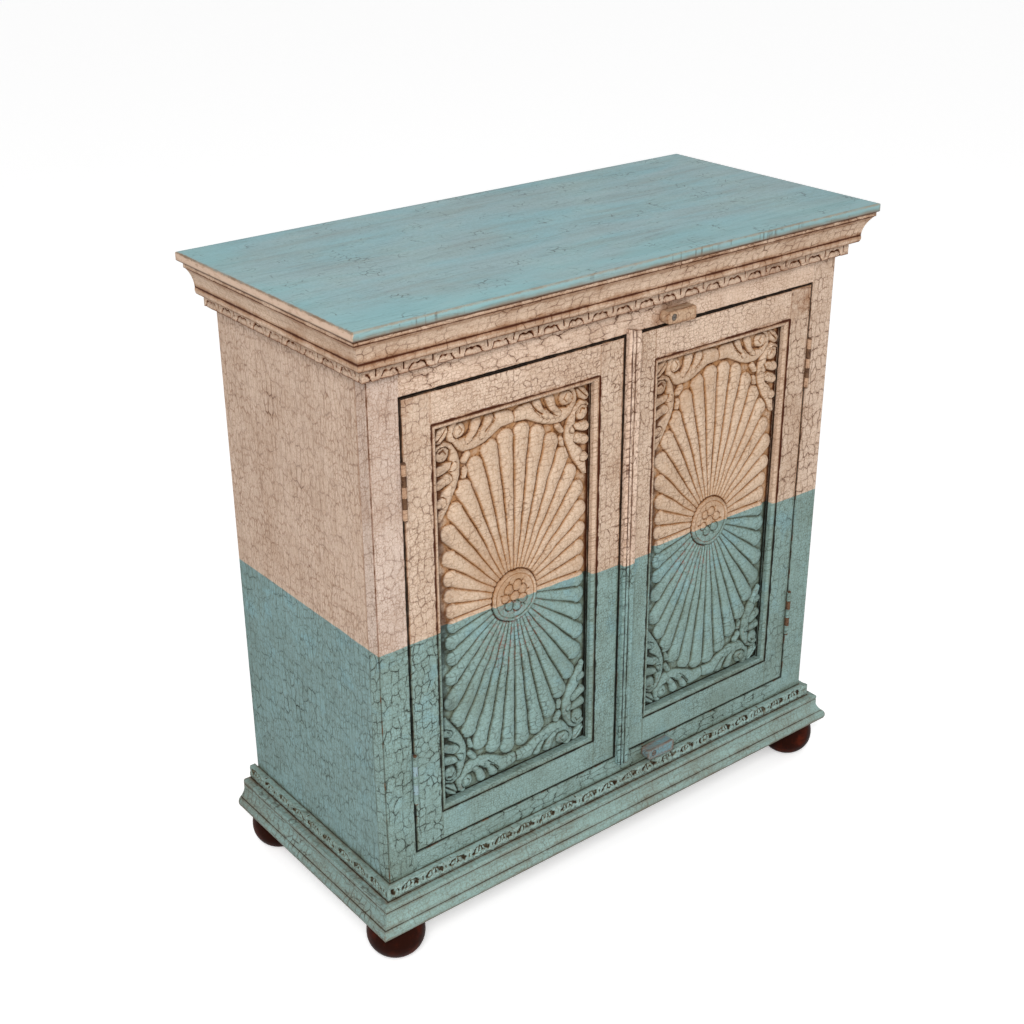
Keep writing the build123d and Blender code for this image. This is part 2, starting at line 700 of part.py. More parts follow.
def boss():
    """The round boss at the middle of the sunburst, facing -Y."""
    disc = rod_y(BOSS_RADIUS, 0, 0, -BOSS_HEIGHT, PETAL_BED)
    disc -= rod_y(BOSS_RADIUS - BOSS_RIM, 0, 0, -BOSS_HEIGHT, -BOSS_HEIGHT + BOSS_DISH)
    return disc + rod_y(BOSS_BUTTON, 0, 0, -BOSS_HEIGHT, -BOSS_HEIGHT + BOSS_DISH)


def spandrels(half_width, half_height):
    """The raised corners outside the oval."""
    pad = block((-half_width, half_width), (-SPANDREL_HEIGHT, PETAL_BED), (-half_height, half_height))
    oval = Plane.XZ * Ellipse(OVAL_HALF_WIDTH + SPANDREL_GAP, OVAL_HALF_HEIGHT + SPANDREL_GAP)
    return pad - extrude(oval, PANEL_THICK, both=True)


def carved_panel(door):
    """The door panel: a tongued board with the sunburst standing on it."""
    (x0, x1), (z0, z1) = door.open_x, door.open_z
    ground = Y_FACE + PANEL_DEPTH
    gap = PANEL_EDGE_GAP
    board = block((x0 + gap, x1 - gap), (ground, ground + PANEL_THICK), (z0 + gap, z1 - gap))
    board += block((x0 - TONGUE_LENGTH, x1 + TONGUE_LENGTH),
                   (ground + TONGUE_SET, ground + TONGUE_SET + TONGUE_THICK),
                   (z0 - TONGUE_LENGTH, z1 + TONGUE_LENGTH))
    half_width = (x1 - x0) / 2 - PANEL_BEAD_WIDTH
    half_height = (z1 - z0) / 2 - PANEL_BEAD_WIDTH
    carving = [Rot(0, math.degrees(angle), 0) * petal(slope, tip)
               for angle, slope, tip in petal_rays(half_width - PETAL_EDGE_GAP)]
    carving.append(boss())
    carving.append(spandrels(half_width - SPANDREL_MARGIN, half_height - SPANDREL_MARGIN))
    place = Pos(door.centre[0], ground, door.centre[1])
    return board.fuse(*[place * piece for piece in carving])


# ---------------------------------------------------------------- cover strip
def cover_strip():
    """The strip on the right door's meeting edge, relieved where it passes the rails."""
    low, high = Z_DOOR - STRIP_BELOW, Z_DOOR_TOP + STRIP_ABOVE
    x0 = RIGHT_DOOR_X[0]
    front, mid = Y_FACE - STRIP_REACH, x0 + STRIP_QUIRK_PLACE
    quirk = STRIP_QUIRK_WIDTH / 2
    section = outline(
        (x0, Y_FACE), (x0, front + STRIP_ROUND), (x0 + STRIP_ROUND, front), (mid - quirk, front),
        (mid, front + STRIP_QUIRK_DEPTH), (mid + quirk, front),
        (x0 + STRIP_WIDTH - STRIP_ROUND, front), (x0 + STRIP_WIDTH, front + STRIP_ROUND),
        (x0 + STRIP_WIDTH, Y_FACE))
    strip = Pos(0, 0, low) * extrude(section, high - low)
    relief_x, relief_y = (x0, x0 + STRIP_WIDTH), (Y_FACE - STRIP_RELIEF, Y_FACE)
    strip -= block(relief_x, relief_y, (low, Z_DOOR)) + block(relief_x, relief_y, (Z_DOOR_TOP, high))
    top_cut = Plane(origin=(x0, 0, high), z_dir=(STRIP_SLOPE, 0, STRIP_WIDTH))
    return split(strip, bisect_by=top_cut, keep=Keep.BOTTOM)


# ---------------------------------------------------------------- turn-buttons
BUTTON_PLACES = ((TOP_BUTTON_X, Z_OPENING_TOP + TOP_BUTTON_ABOVE),
                 (BOTTOM_BUTTON_X, Z_OPENING - BOTTOM_BUTTON_BELOW))
BUTTON_Y = (Y_FACE - WASHER_THICK - BUTTON_AXIAL_GAP - BUTTON_THICK,
            Y_FACE - WASHER_THICK - BUTTON_AXIAL_GAP)
SCREW_SEAT = BUTTON_Y[0] + COUNTERBORE_DEPTH - BUTTON_AXIAL_GAP


def turn_button(x, z):
    """A turn-button lying level, its long arm to the right."""
    root, tip = BUTTON_ROOT_WIDTH / 2, BUTTON_WIDTH / 2
    face = outline((-BUTTON_SHORT_ARM + root / 2, -root), (BUTTON_LONG_ARM - BUTTON_ROUND, -tip),
                   (BUTTON_LONG_ARM, -tip + BUTTON_ROUND), (BUTTON_LONG_ARM, tip - BUTTON_ROUND),
                   (BUTTON_LONG_ARM - BUTTON_ROUND, tip), (-BUTTON_SHORT_ARM + root / 2, root),
                   ((-BUTTON_SHORT_ARM, 0), (-BUTTON_SHORT_ARM + root / 2, -root)))
    shape = Pos(x, BUTTON_Y[1], z) * extrude(Plane.XZ * face, BUTTON_THICK)
    shape -= rod_y(BUTTON_SCREW_RADIUS + BUTTON_SCREW_CLEARANCE, x, z, *BUTTON_Y)
    return shape - rod_y(COUNTERBORE_RADIUS, x, z, BUTTON_Y[0], BUTTON_Y[0] + COUNTERBORE_DEPTH)


def button_screws():
    """The two screws that the turn-buttons pivot on, with slotted heads."""
    screws = []
    for x, z in BUTTON_PLACES:
        head = (SCREW_SEAT - BUTTON_SCREW_HEAD_THICK, SCREW_SEAT)
        screw = rod_y(BUTTON_SCREW_RADIUS, x, z, SCREW_SEAT, Y_FACE + BUTTON_SCREW_GRIP)
        screw += rod_y(BUTTON_SCREW_HEAD, x, z, *head)
        slot = block((x - BUTTON_SCREW_HEAD, x + BUTTON_SCREW_HEAD),
                     (head[0], head[0] + BUTTON_SCREW_SLOT),
                     (z - BUTTON_SCREW_SLOT / 2, z + BUTTON_SCREW_SLOT / 2))
        screws.append(screw - slot)
    return screws


def button_washers():
    """The washers that keep the turn-buttons off the frame."""
    return [rod_y(WASHER_RADIUS, x, z, Y_FACE - WASHER_THICK, Y_FACE)
            - rod_y(BUTTON_SCREW_RADIUS, x, z, Y_FACE - WASHER_THICK, Y_FACE)
            for x, z in BUTTON_PLACES]


# ---------------------------------------------------------------- write the nodes
def write_carcass():
    """The body, its mouldings and its feet."""
    save("top_board", top_board())
    mitred_set("cornice", cornice_profile(), Z_CORNICE)
    mitred_set("frieze", frieze_profile(), Z_FRIEZE)
    mitred_set("base_band", band_profile(), Z_BAND)
    mitred_set("plinth_moulding", plinth_profile(), Z_BODY)
    for name, side in (("left", -1), ("right", 1)):
        save("side_board_" + name, side_board(side))
        save("face_stile_" + name, face_stile(side))
    save("face_rail_upper", face_rail(UPPER_RAIL_Z))
    save("face_rail_lower", face_rail(LOWER_RAIL_Z))
    save("back_panel", back_panel())
    save("bottom_board", bottom_board())
    save("back_rail_upper", back_rail((Z_TOP_BOARD - BACK_RAIL_HEIGHT, Z_TOP_BOARD)))
    save("back_rail_lower", back_rail((Z_BODY, Z_OPENING - BOTTOM_THICK)))
    save("shelf", shelf())
    save("shelf_cleats", group(shelf_cleats()))
    save("top_glue_blocks", group(glue_blocks()))
    save("foot_blocks", group(foot_blocks()))
    save("door_stops", group(door_stops()))
    save("foot_bolts", group(foot_bolts()))
    for name, x, y in foot_places():
        save(name, foot(x, y))


def write_hinges():
    """The frame half of the hinges and their pins, then each door's half."""
    pairs = [(side, z) for side in (-1, 1) for z in HINGE_CENTRES]
    save("hinge_frame_leaves", group([hinge_leaf(side, z, -1) for side, z in pairs]))
    save("hinge_pins", group([hinge_pin(side, z) for side, z in pairs]))
    save("hinge_frame_screws",
         group([screw for side, z in pairs for screw in hinge_screws(side, z, -1)]))
    for name, side in (("left", -1), ("right", 1)):
        save(name + "_hinge_door_leaves", group([hinge_leaf(side, z, 1) for z in HINGE_CENTRES]))
        save(name + "_hinge_door_screws",
             group([screw for z in HINGE_CENTRES for screw in hinge_screws(side, z, 1)]))


def write_door(name, door):
    """The wooden pieces of one door."""
    side_names = {door.hinge_side: "_hinge_stile", -door.hinge_side: "_meeting_stile"}
    for side in (-1, 1):
        save(name + side_names[side], door.stile(side))
    save(name + "_door_rail_upper", door.rail(True))
    save(name + "_door_rail_lower", door.rail(False))
    save(name + "_carved_panel", carved_panel(door))
    save(name + "_panel_beads", group(door.bead()))
    save(name + "_door_pegs", group(door.pegs()))


def main():
    """Build every node."""
    os.makedirs("parts", exist_ok=True)
    write_carcass()
    write_hinges()
    write_door("left", Door(LEFT_DOOR_X, -1, LEFT_HINGE_STILE, LEFT_MEETING_STILE))
    write_door("right", Door(RIGHT_DOOR_X, 1, RIGHT_MEETING_STILE, RIGHT_HINGE_STILE))
    save("cover_strip", cover_strip())
    for name, place in zip(("top_turn_button", "bottom_turn_button"), BUTTON_PLACES):
        save(name, turn_button(*place))
    save("button_screws", group(button_screws()))
    save("button_washers", group(button_washers()))


main()
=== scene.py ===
"""Two-door painted cabinet: crackled cream and teal paint, sunburst door panels."""
import math

import bmesh
import bpy
import numpy as np
from mathutils import Matrix, Vector


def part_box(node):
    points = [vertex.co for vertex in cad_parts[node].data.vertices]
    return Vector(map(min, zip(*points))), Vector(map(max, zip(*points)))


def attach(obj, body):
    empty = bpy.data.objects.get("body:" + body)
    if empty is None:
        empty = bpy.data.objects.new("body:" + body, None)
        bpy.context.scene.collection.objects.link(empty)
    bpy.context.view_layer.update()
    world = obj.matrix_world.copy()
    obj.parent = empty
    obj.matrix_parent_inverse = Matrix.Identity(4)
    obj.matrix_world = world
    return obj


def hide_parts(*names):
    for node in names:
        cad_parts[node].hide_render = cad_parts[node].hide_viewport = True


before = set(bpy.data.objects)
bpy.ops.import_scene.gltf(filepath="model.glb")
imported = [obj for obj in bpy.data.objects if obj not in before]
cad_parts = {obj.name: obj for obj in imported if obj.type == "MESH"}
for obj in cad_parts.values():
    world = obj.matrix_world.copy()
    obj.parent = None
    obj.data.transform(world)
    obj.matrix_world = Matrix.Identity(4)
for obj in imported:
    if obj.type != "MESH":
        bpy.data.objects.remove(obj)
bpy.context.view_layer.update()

MM = 0.001
TURN = 2 * math.pi
PAINT_LINE = 0.490
PAINT_DEPTH, TOP_DEPTH, METAL_DEPTH = 0.0003, 0.0002, 0.0001
CRACK_WIDTH, WIDEST_CRACK = 0.85, 0.085    # in mm, and as a share of a flake


def shade(red, green, blue):
    """A paint colour, given as it looks in daylight on a 0 to 255 scale."""
    def linear(value):
        value = value / 255
        return value / 12.92 if value <= 0.04045 else ((value + 0.055) / 1.055) ** 2.4
    return (linear(red), linear(green), linear(blue), 1.0)


CREAM = shade(223, 202, 184)
# the crack colours also paint dark lines in joints and painted shade in deep hollows and along panel
# edges
CREAM_CRACK = shade(66, 28, 9)
TEAL = shade(143, 173, 171)
TEAL_CRACK = shade(26, 24, 17)
TEAL_BLUE = shade(136, 178, 188)
TOP_TURQUOISE = shade(140, 167, 171)
TOP_BRIGHT = shade(129, 171, 178)
TOP_GREY = shade(140, 146, 140)
BARE = shade(128, 88, 58)
# the dirt colours serve for dirt and also for painted shade in creases, joints and carved hollows
GRIME = shade(136, 88, 48)
# painted shadow: near black for the door gaps' walls, the face beside them and the beads' inner edges
GAP_BLACK = shade(9, 5, 3)
TEAL_GRIME = shade(82, 84, 62)
DARK_WOOD = shade(74, 48, 32)
OLD_WOOD = shade(150, 112, 78)
INNER_BROWN = shade(132, 98, 68)
FOOT_DARK = shade(38, 14, 7)
FOOT_RED = shade(76, 28, 14)


# ---------------------------------------------------------------- node writing

def put(tree, kind, links=None, **settings):
    """A node with its settings, and its inputs joined to sockets or set to values."""
    node = tree.nodes.new(kind)
    for name, value in settings.items():
        setattr(node, name, value)
    for name, value in (links or {}).items():
        join(tree, value, node.inputs[name])
    return node


def join(tree, value, socket):
    if isinstance(value, bpy.types.NodeSocket):
        tree.links.new(value, socket)
    elif value is not None:
        socket.default_value = value


def calc(tree, operation, a, b=None, clamp=False):
    node = tree.nodes.new("ShaderNodeMath")
    node.operation = operation
    node.use_clamp = clamp
    for index, value in enumerate((a, b)):
        join(tree, value, node.inputs[index])
    return node.outputs[0]


def times(tree, a, b):
    return calc(tree, "MULTIPLY", a, b)


def plus(tree, a, b, clamp=False):
    return calc(tree, "ADD", a, b, clamp)


def minus(tree, a, b):
    return calc(tree, "SUBTRACT", a, b)


def larger(tree, a, b):
    return calc(tree, "MAXIMUM", a, b)


def smaller(tree, a, b):
    return calc(tree, "MINIMUM", a, b)


def move(tree, operation, a, b=None):
    node = tree.nodes.new("ShaderNodeVectorMath")
    node.operation = operation
    for index, value in enumerate((a, b)):
        join(tree, value, node.inputs[index])
    return node.outputs["Value" if operation == "DOT_PRODUCT" else "Vector"]


def blend(tree, share, a, b, mode="MIX"):
    node = tree.nodes.new("ShaderNodeMix")
    node.data_type = "RGBA"
    node.blend_type = mode
    node.clamp_factor = True
    for index, value in ((0, share), (6, a), (7, b)):    # 6 and 7 are the two colours' sockets
        join(tree, value, node.inputs[index])
    return node.outputs[2]


def ease(tree, value, low, high, start=0.0, end=1.0):
    """Value smoothly from start at low to end at high."""
    node = put(tree, "ShaderNodeMapRange", interpolation_type="SMOOTHSTEP")
    for name, item in (
            ("Value", value), ("From Min", low), ("From Max", high), ("To Min", start), ("To Max", end)):
        join(tree, item, node.inputs[name])
    return node.outputs[0]


def away_from(tree, place, centre):
    return put(tree, "ShaderNodeVectorMath", {0: place, 1: centre}, operation="DISTANCE").outputs["Value"]


def cloud(tree, place, scale, detail=2.0, rough=0.5, distortion=0.0, colour=False):
    node = put(
        tree, "ShaderNodeTexNoise",
        {"Vector": place, "Scale": scale, "Detail": detail, "Roughness": rough, "Distortion": distortion})
    return node.outputs["Color" if colour else "Fac"]


def blotches(tree, place, noise, low, high, start=0.0, end=1.0):
    """Soft-edged patches; noise is its scale, detail, roughness and distortion, eased as in ease."""
    return ease(tree, cloud(tree, place, *noise), low, high, start, end)


def parts_of(tree, vector):
    return put(tree, "ShaderNodeSeparateXYZ", {"Vector": vector}).outputs


SOCKETS = {"vector": "NodeSocketVector", "colour": "NodeSocketColor", "number": "NodeSocketFloat"}
PLACE = ("Place", "vector", (0, 0, 0))


def group(name, takes, gives):
    """An empty node group; takes is (name, kind, default) and gives (name, kind)."""
    tree = bpy.data.node_groups.new(name, "ShaderNodeTree")
    for label, kind, default in takes:
        socket = tree.interface.new_socket(name=label, in_out="INPUT", socket_type=SOCKETS[kind])
        socket.default_value = default
    for label, kind in gives:
        tree.interface.new_socket(name=label, in_out="OUTPUT", socket_type=SOCKETS[kind])
    return tree, tree.nodes.new("NodeGroupInput").outputs, tree.nodes.new("NodeGroupOutput").inputs


def use(tree, made, **links):
    """The group placed in a tree; sockets are named with _ for spaces."""
    node = tree.nodes.new("ShaderNodeGroup")
    node.node_tree = made
    for name, value in links.items():
        join(tree, value, node.inputs[name.replace("_", " ")])
    return node.outputs


# ---------------------------------------------------------------- shared effects

def make_crackle():
    """Shrinkage cracks between flakes of old paint; Cell is a flake's width and height."""
    tree, given, result = group(
        "Crackled paint",
        [PLACE, ("Cell", "vector", (0.01, 0.01, 1)), ("Width", "number", 0.09),
         ("Order", "number", 0.62), ("Broken", "number", 0.5), ("Wander", "number", 1.0)],
        [("Crack", "number"), ("Flake", "number"), ("Curl", "number")])
    scaled = move(tree, "DIVIDE", given["Place"], given["Cell"])
    slow = move(tree, "SUBTRACT", cloud(tree, scaled, 0.32, 2.0, 0.5, colour=True), (0.5, 0.5, 0.5))
    quick = move(tree, "SUBTRACT", cloud(tree, scaled, 2.4, 3.0, 0.7, colour=True), (0.5, 0.5, 0.5))
    drift = move(
        tree, "ADD", move(tree, "MULTIPLY", slow, (1.7, 1.7, 0.0)),
        move(tree, "MULTIPLY", quick, (0.42, 0.42, 0.0)))
    share = put(tree, "ShaderNodeCombineXYZ", {"X": given["Wander"], "Y": given["Wander"]}).outputs[0]
    place = move(tree, "ADD", scaled, move(tree, "MULTIPLY", drift, share))
    edge = put(
        tree, "ShaderNodeTexVoronoi", {"Vector": place, "Scale": 1.0, "Randomness": given["Order"]},
        feature="DISTANCE_TO_EDGE", voronoi_dimensions="2D").outputs["Distance"]
    tint = put(
        tree, "ShaderNodeTexVoronoi", {"Vector": place, "Scale": 1.0, "Randomness": given["Order"]},
        feature="F1", voronoi_dimensions="2D").outputs["Color"]
    uneven = cloud(tree, scaled, 0.85, 3.0, 0.6)
    width = times(tree, given["Width"], ease(tree, uneven, 0.34, 0.66, 0.55, 1.5))
    open_share = blotches(
        tree, scaled, (0.6, 3.0, 0.7), minus(tree, given["Broken"], 0.10),
        plus(tree, given["Broken"], 0.12), 0.12, 1.0)
    line = ease(tree, edge, times(tree, width, 0.4), width, 1.0, 0.0)
    join(tree, times(tree, line, open_share), result["Crack"])
    join(tree, parts_of(tree, tint)[0], result["Flake"])
    join(tree, larger(tree, ease(tree, edge, 0.0, 0.3), minus(tree, 1.0, open_share)), result["Curl"])
    return tree


def make_checks():
    """Fine, long, broken lines that follow the grain; Step is their spacing in x, y and z."""
    tree, given, result = group(
        "Grain checks",
        [PLACE, ("Step", "vector", (0.007, 0.007, 0.12)), ("Width", "number", 0.022)],
        [("Line", "number")])
    place = move(tree, "DIVIDE", given["Place"], given["Step"])
    field = cloud(tree, place, 1.0, 2.0, 0.45)
    away = calc(tree, "ABSOLUTE", minus(tree, field, 0.5))
    patch = blotches(tree, move(tree, "MULTIPLY", place, (0.35, 0.35, 1.6)), (1.0, 2.0), 0.38, 0.6)
    line = ease(tree, away, 0.0, given["Width"], 1.0, 0.0)
    join(tree, times(tree, line, patch), result["Line"])
    return tree


def make_edge_wear():
    """Rubbed edges of a box that runs from Low to High."""
    tree, given, result = group(
        "Rubbed edges",
        [PLACE, ("Low", "vector", (0, 0, 0)), ("High", "vector", (1, 1, 1)),
         ("Reach", "number", 0.003)],
        [("Worn", "number"), ("Near", "number")])
    place = given["Place"]
    from_low = move(tree, "ABSOLUTE", move(tree, "SUBTRACT", place, given["Low"]))
    from_high = move(tree, "ABSOLUTE", move(tree, "SUBTRACT", given["High"], place))
    gap = parts_of(tree, move(tree, "MINIMUM", from_low, from_high))
    least = smaller(tree, gap[0], gap[1])
    most = larger(tree, gap[0], gap[1])
    middle = larger(tree, least, smaller(tree, most, gap[2]))
    rough = blotches(tree, place, (60.0, 4.0, 0.6), 0.4, 0.72)
    reach = times(tree, given["Reach"], rough)
    near = ease(tree, middle, 0.0, times(tree, given["Reach"], 2.5), 1.0, 0.0)
    join(
        tree, ease(tree, middle, times(tree, reach, 0.7), plus(tree, reach, 0.0002), 1.0, 0.0),
        result["Worn"])
    join(tree, near, result["Near"])
    return tree


def make_rim():
    """A rectangle's edge in x and z: rubbed, dirty near by, with a line at it and the wall behind it."""
    tree, given, result = group(
        "Rubbed rim",
        [PLACE, ("Middle", "vector", (0, 0, 0)), ("Half", "vector", (1, 0, 1)),
         ("Reach", "number", 0.002), ("Line", "number", 0.001)],
        [("Worn", "number"), ("Near", "number"), ("Gap", "number"), ("Wall", "number")])
    place = given["Place"]
    local = move(tree, "SUBTRACT", place, given["Middle"])
    over = parts_of(tree, move(tree, "SUBTRACT", move(tree, "ABSOLUTE", local), given["Half"]))
    outside_x, outside_z = larger(tree, over[0], 0.0), larger(tree, over[2], 0.0)
    outside = calc(
        tree, "SQRT", plus(tree, times(tree, outside_x, outside_x), times(tree, outside_z, outside_z)))
    inside = smaller(tree, larger(tree, over[0], over[2]), 0.0)
    gap = calc(tree, "ABSOLUTE", plus(tree, outside, inside))
    away = larger(tree, gap, calc(tree, "ABSOLUTE", parts_of(tree, local)[1]))
    rough = blotches(tree, place, (60.0, 4.0, 0.6), 0.42, 0.7)
    reach = times(tree, given["Reach"], rough)
    join(
        tree, ease(tree, away, times(tree, reach, 0.7), plus(tree, reach, 0.0002), 1.0, 0.0),
        result["Worn"])
    join(tree, ease(tree, away, 0.0, times(tree, given["Reach"], 2.0), 1.0, 0.0), result["Near"])
    # Gap is a line at the edge and Wall the wall behind it; the paint darkens both as painted shadow in
    # gaps and along panel edges
    thin = times(tree, given["Line"], blotches(tree, place, (40.0, 3.0, 0.6), 0.3, 0.7, 0.6, 1.6))
    join(
        tree, ease(tree, away, times(tree, thin, 0.6), plus(tree, thin, 0.0004), 1.0, 0.0), result["Gap"])
    deep = ease(tree, parts_of(tree, local)[1], 0.0004, 0.0012)
    join(tree, times(tree, ease(tree, gap, 0.0001, 0.0006, 1.0, 0.0), deep), result["Wall"])
    return tree


def make_crease():
    """Darkening at one level along an axis, for dirt and for painted shade in creases and joints."""
    tree, given, result = group(
        "Dirt in a crease",
        [PLACE, ("Axis", "vector", (0, 0, 1)), ("Level", "number", 0.0),
         ("Reach", "number", 0.002)],
        [("Dirt", "number")])
    place = given["Place"]
    along = move(tree, "DOT_PRODUCT", place, given["Axis"])
    away = calc(tree, "ABSOLUTE", minus(tree, along, given["Level"]))
    uneven = blotches(tree, place, (28.0, 4.0, 0.65), 0.3, 0.7, 0.45, 1.3)
    reach = times(tree, given["Reach"], uneven)
    join(tree, ease(tree, away, times(tree, reach, 0.15), reach, 1.0, 0.0), result["Dirt"])
    return tree


def make_two_tone():
    """Cream above the paint line and teal below it, with blue left where the teal is thin."""
    tree, given, result = group(
        "Cream over teal",
        [PLACE, ("Line", "number", PAINT_LINE), ("Cream", "colour", CREAM),
         ("Teal", "colour", TEAL), ("Grime", "colour", GRIME)],
        [("Paint", "colour"), ("Crack", "colour"), ("Dirt", "colour"), ("Lower", "number")])
    place = given["Place"]
    height = parts_of(tree, place)[2]
    wavy = times(tree, minus(tree, cloud(tree, place, 45.0, 4.0, 0.6), 0.5), 0.0032)
    wavy = plus(tree, wavy, times(tree, minus(tree, cloud(tree, place, 7.0, 1.0), 0.5), 0.008))
    lower = ease(
        tree, plus(tree, height, wavy), minus(tree, given["Line"], 0.0005),
        plus(tree, given["Line"], 0.0005), 1.0, 0.0)
    blots = blotches(tree, place, (22.0, 5.0, 0.62, 0.4), 0.52, 0.68)
    near_line = ease(tree, height, minus(tree, given["Line"], 0.30), given["Line"], 0.22, 0.6)
    teal = blend(tree, times(tree, blots, near_line), given["Teal"], TEAL_BLUE)
    join(tree, blend(tree, lower, given["Cream"], teal), result["Paint"])
    # the crack and dirt colours also paint dark lines and painted shade in creases and hollows
    join(tree, blend(tree, lower, CREAM_CRACK, TEAL_CRACK), result["Crack"])
    join(tree, blend(tree, lower, given["Grime"], TEAL_GRIME), result["Dirt"])
    join(tree, lower, result["Lower"])
    return tree


def make_old_paint(crackle, checks):
    """Brushed paint that has crackled, taken dirt and rubbed through to the wood."""
    tree, given, result = group(
        "Old paint",
        [
            PLACE, ("Across", "vector", (1, 0, 0)), ("Along", "vector", (0, 0, 1)),
            ("Paint", "colour", CREAM), ("Crack", "colour", CREAM_CRACK), ("Dirt", "colour", GRIME),
            ("Cell", "vector", (0.011, 0.013, 1)), ("Fine Cell", "vector", (0.0045, 0.006, 1)),
            ("Thin", "number", 0.085), ("Grain Step", "vector", (0.007, 0.007, 0.12)),
            ("Cracks", "number", 0.8), ("Fine Cracks", "number", 0.35), ("Grain", "number", 0.35),
            ("Patch", "number", 0.4), ("Wander", "number", 1.0), ("Soil", "number", 0.34),
            ("Dirty", "number", 0.0), ("Dark", "number", 0.0), ("Black", "number", 0.0),
            ("Worn", "number", 0.0)],
        [("Colour", "colour"), ("Roughness", "number"), ("Height", "number")])
    place = given["Place"]
    flat = put(
        tree, "ShaderNodeCombineXYZ",
        {
            "X": move(tree, "DOT_PRODUCT", place, given["Across"]),
            "Y": move(tree, "DOT_PRODUCT", place, given["Along"])}).outputs[0]
    coarse = use(
        tree, crackle, Place=flat, Cell=given["Cell"], Width=given["Thin"], Order=0.58, Broken=0.47,
        Wander=given["Wander"])
    fine = use(
        tree, crackle, Place=flat, Cell=given["Fine Cell"], Width=0.13, Order=0.72, Broken=0.44,
        Wander=given["Wander"])
    lines = use(tree, checks, Place=place, Step=given["Grain Step"])
    patches = cloud(tree, place, 9.0, 3.0, 0.55)
    coarse_here = times(
        tree, given["Cracks"],
        ease(tree, patches, given["Patch"], plus(tree, given["Patch"], 0.2), 0.45, 1.0))
    fine_here = times(
        tree, given["Fine Cracks"], blotches(tree, place, (16.0, 3.0, 0.6), 0.36, 0.6, 0.5, 1.0))
    coarse_crack = times(tree, coarse["Crack"], coarse_here)
    fine_crack = times(tree, fine["Crack"], fine_here)
    faint_crack = larger(tree, fine_crack, times(tree, lines["Line"], given["Grain"]))
    crack = larger(tree, coarse_crack, faint_crack)

    mottle = blotches(tree, place, (14.0, 6.0, 0.65), 0.3, 0.72)
    light = blend(tree, 1.0, given["Paint"], shade(252, 250, 248), "MULTIPLY")
    dim = blend(tree, 1.0, given["Paint"], shade(226, 220, 214), "MULTIPLY")
    base = blend(tree, times(tree, mottle, 0.5), light, dim)
    flake = ease(tree, coarse["Flake"], 0.0, 1.0, 0.0, 0.14)
    base = blend(tree, flake, base, shade(236, 226, 212), "MULTIPLY")
    grit = blotches(tree, place, (330.0, 2.0, 0.6), 0.32, 0.68, 0.0, 0.30)
    base = blend(tree, grit, base, shade(206, 200, 190), "MULTIPLY")
    soil = blotches(tree, place, (7.0, 6.0, 0.66), 0.46, 0.78, 0.0, given["Soil"])
    base = blend(tree, soil, base, given["Dirt"])
    stipple = blotches(tree, place, (430.0, 2.0, 0.7), 0.53, 0.67, 0.0, 0.34)
    base = blend(tree, stipple, base, given["Dirt"])
    halo = times(tree, minus(tree, 1.0, coarse["Curl"]), times(tree, coarse_here, 0.34))
    base = blend(tree, halo, base, given["Dirt"])
    base = blend(tree, faint_crack, base, blend(tree, 0.4, given["Dirt"], given["Crack"]))
    # this mask brings the dirt colour as dirt and as painted shade in creases, joints and carved hollows
    dirt = times(tree, given["Dirty"], blotches(tree, place, (70.0, 4.0, 0.6), 0.25, 0.6, 0.55, 1.0))
    base = blend(tree, dirt, base, given["Dirt"])
    base = blend(tree, coarse_crack, base, given["Crack"])
    pale_wood = cloud(tree, move(tree, "DIVIDE", place, given["Grain Step"]), 1.2, 4.0, 0.6)
    wood = blend(tree, pale_wood, BARE, DARK_WOOD)
    base = blend(tree, given["Worn"], base, wood)
    # dark lines and painted shade: the crack colour laid in joints, deep hollows and along panel edges
    base = blend(tree, given["Dark"], base, given["Crack"])
    # painted shadow: near black in the door gaps
    base = blend(tree, given["Black"], base, GAP_BLACK)
    join(tree, base, result["Colour"])

    rough = blotches(tree, place, (35.0, 3.0), 0.3, 0.7, 0.5, 0.68)
    rough = plus(tree, rough, times(tree, crack, 0.2), clamp=True)
    join(tree, plus(tree, rough, times(tree, given["Worn"], 0.1), clamp=True), result["Roughness"])
    brush = cloud(tree, move(tree, "DIVIDE", place, given["Grain Step"]), 2.4, 4.0, 0.6)
    relief = minus(tree, times(tree, brush, 0.18), crack)
    relief = plus(tree, relief, times(tree, coarse["Curl"], times(tree, coarse_here, -0.22)))
    join(tree, minus(tree, relief, times(tree, given["Worn"], 0.5)), result["Height"])
    return tree


def make_bare_wood():
    """Unpainted boards: growth bands along the grain, pores and old dirt."""
    tree, given, result = group(
        "Bare boards",
        [PLACE, ("Grain Step", "vector", (0.5, 0.03, 0.03)), ("Light", "colour", OLD_WOOD)],
        [("Colour", "colour"), ("Roughness", "number"), ("Height", "number")])
    place = move(tree, "DIVIDE", given["Place"], given["Grain Step"])
    bands = cloud(tree, place, 1.1, 4.0, 0.6, 1.2)
    rings = calc(tree, "PINGPONG", times(tree, bands, 7.0), 1.0)
    pores = blotches(tree, place, (16.0, 3.0, 0.6), 0.56, 0.7)
    colour = blend(tree, ease(tree, rings, 0.1, 1.0, 0.15, 0.6), given["Light"], DARK_WOOD)
    colour = blend(tree, times(tree, pores, 0.45), colour, DARK_WOOD)
    stain = blotches(tree, given["Place"], (6.0, 5.0, 0.6), 0.45, 0.75, 0.0, 0.5)
    join(tree, blend(tree, stain, colour, DARK_WOOD), result["Colour"])
    join(tree, ease(tree, bands, 0.3, 0.7, 0.68, 0.85), result["Roughness"])
    join(tree, minus(tree, times(tree, rings, 0.4), pores), result["Height"])
    return tree


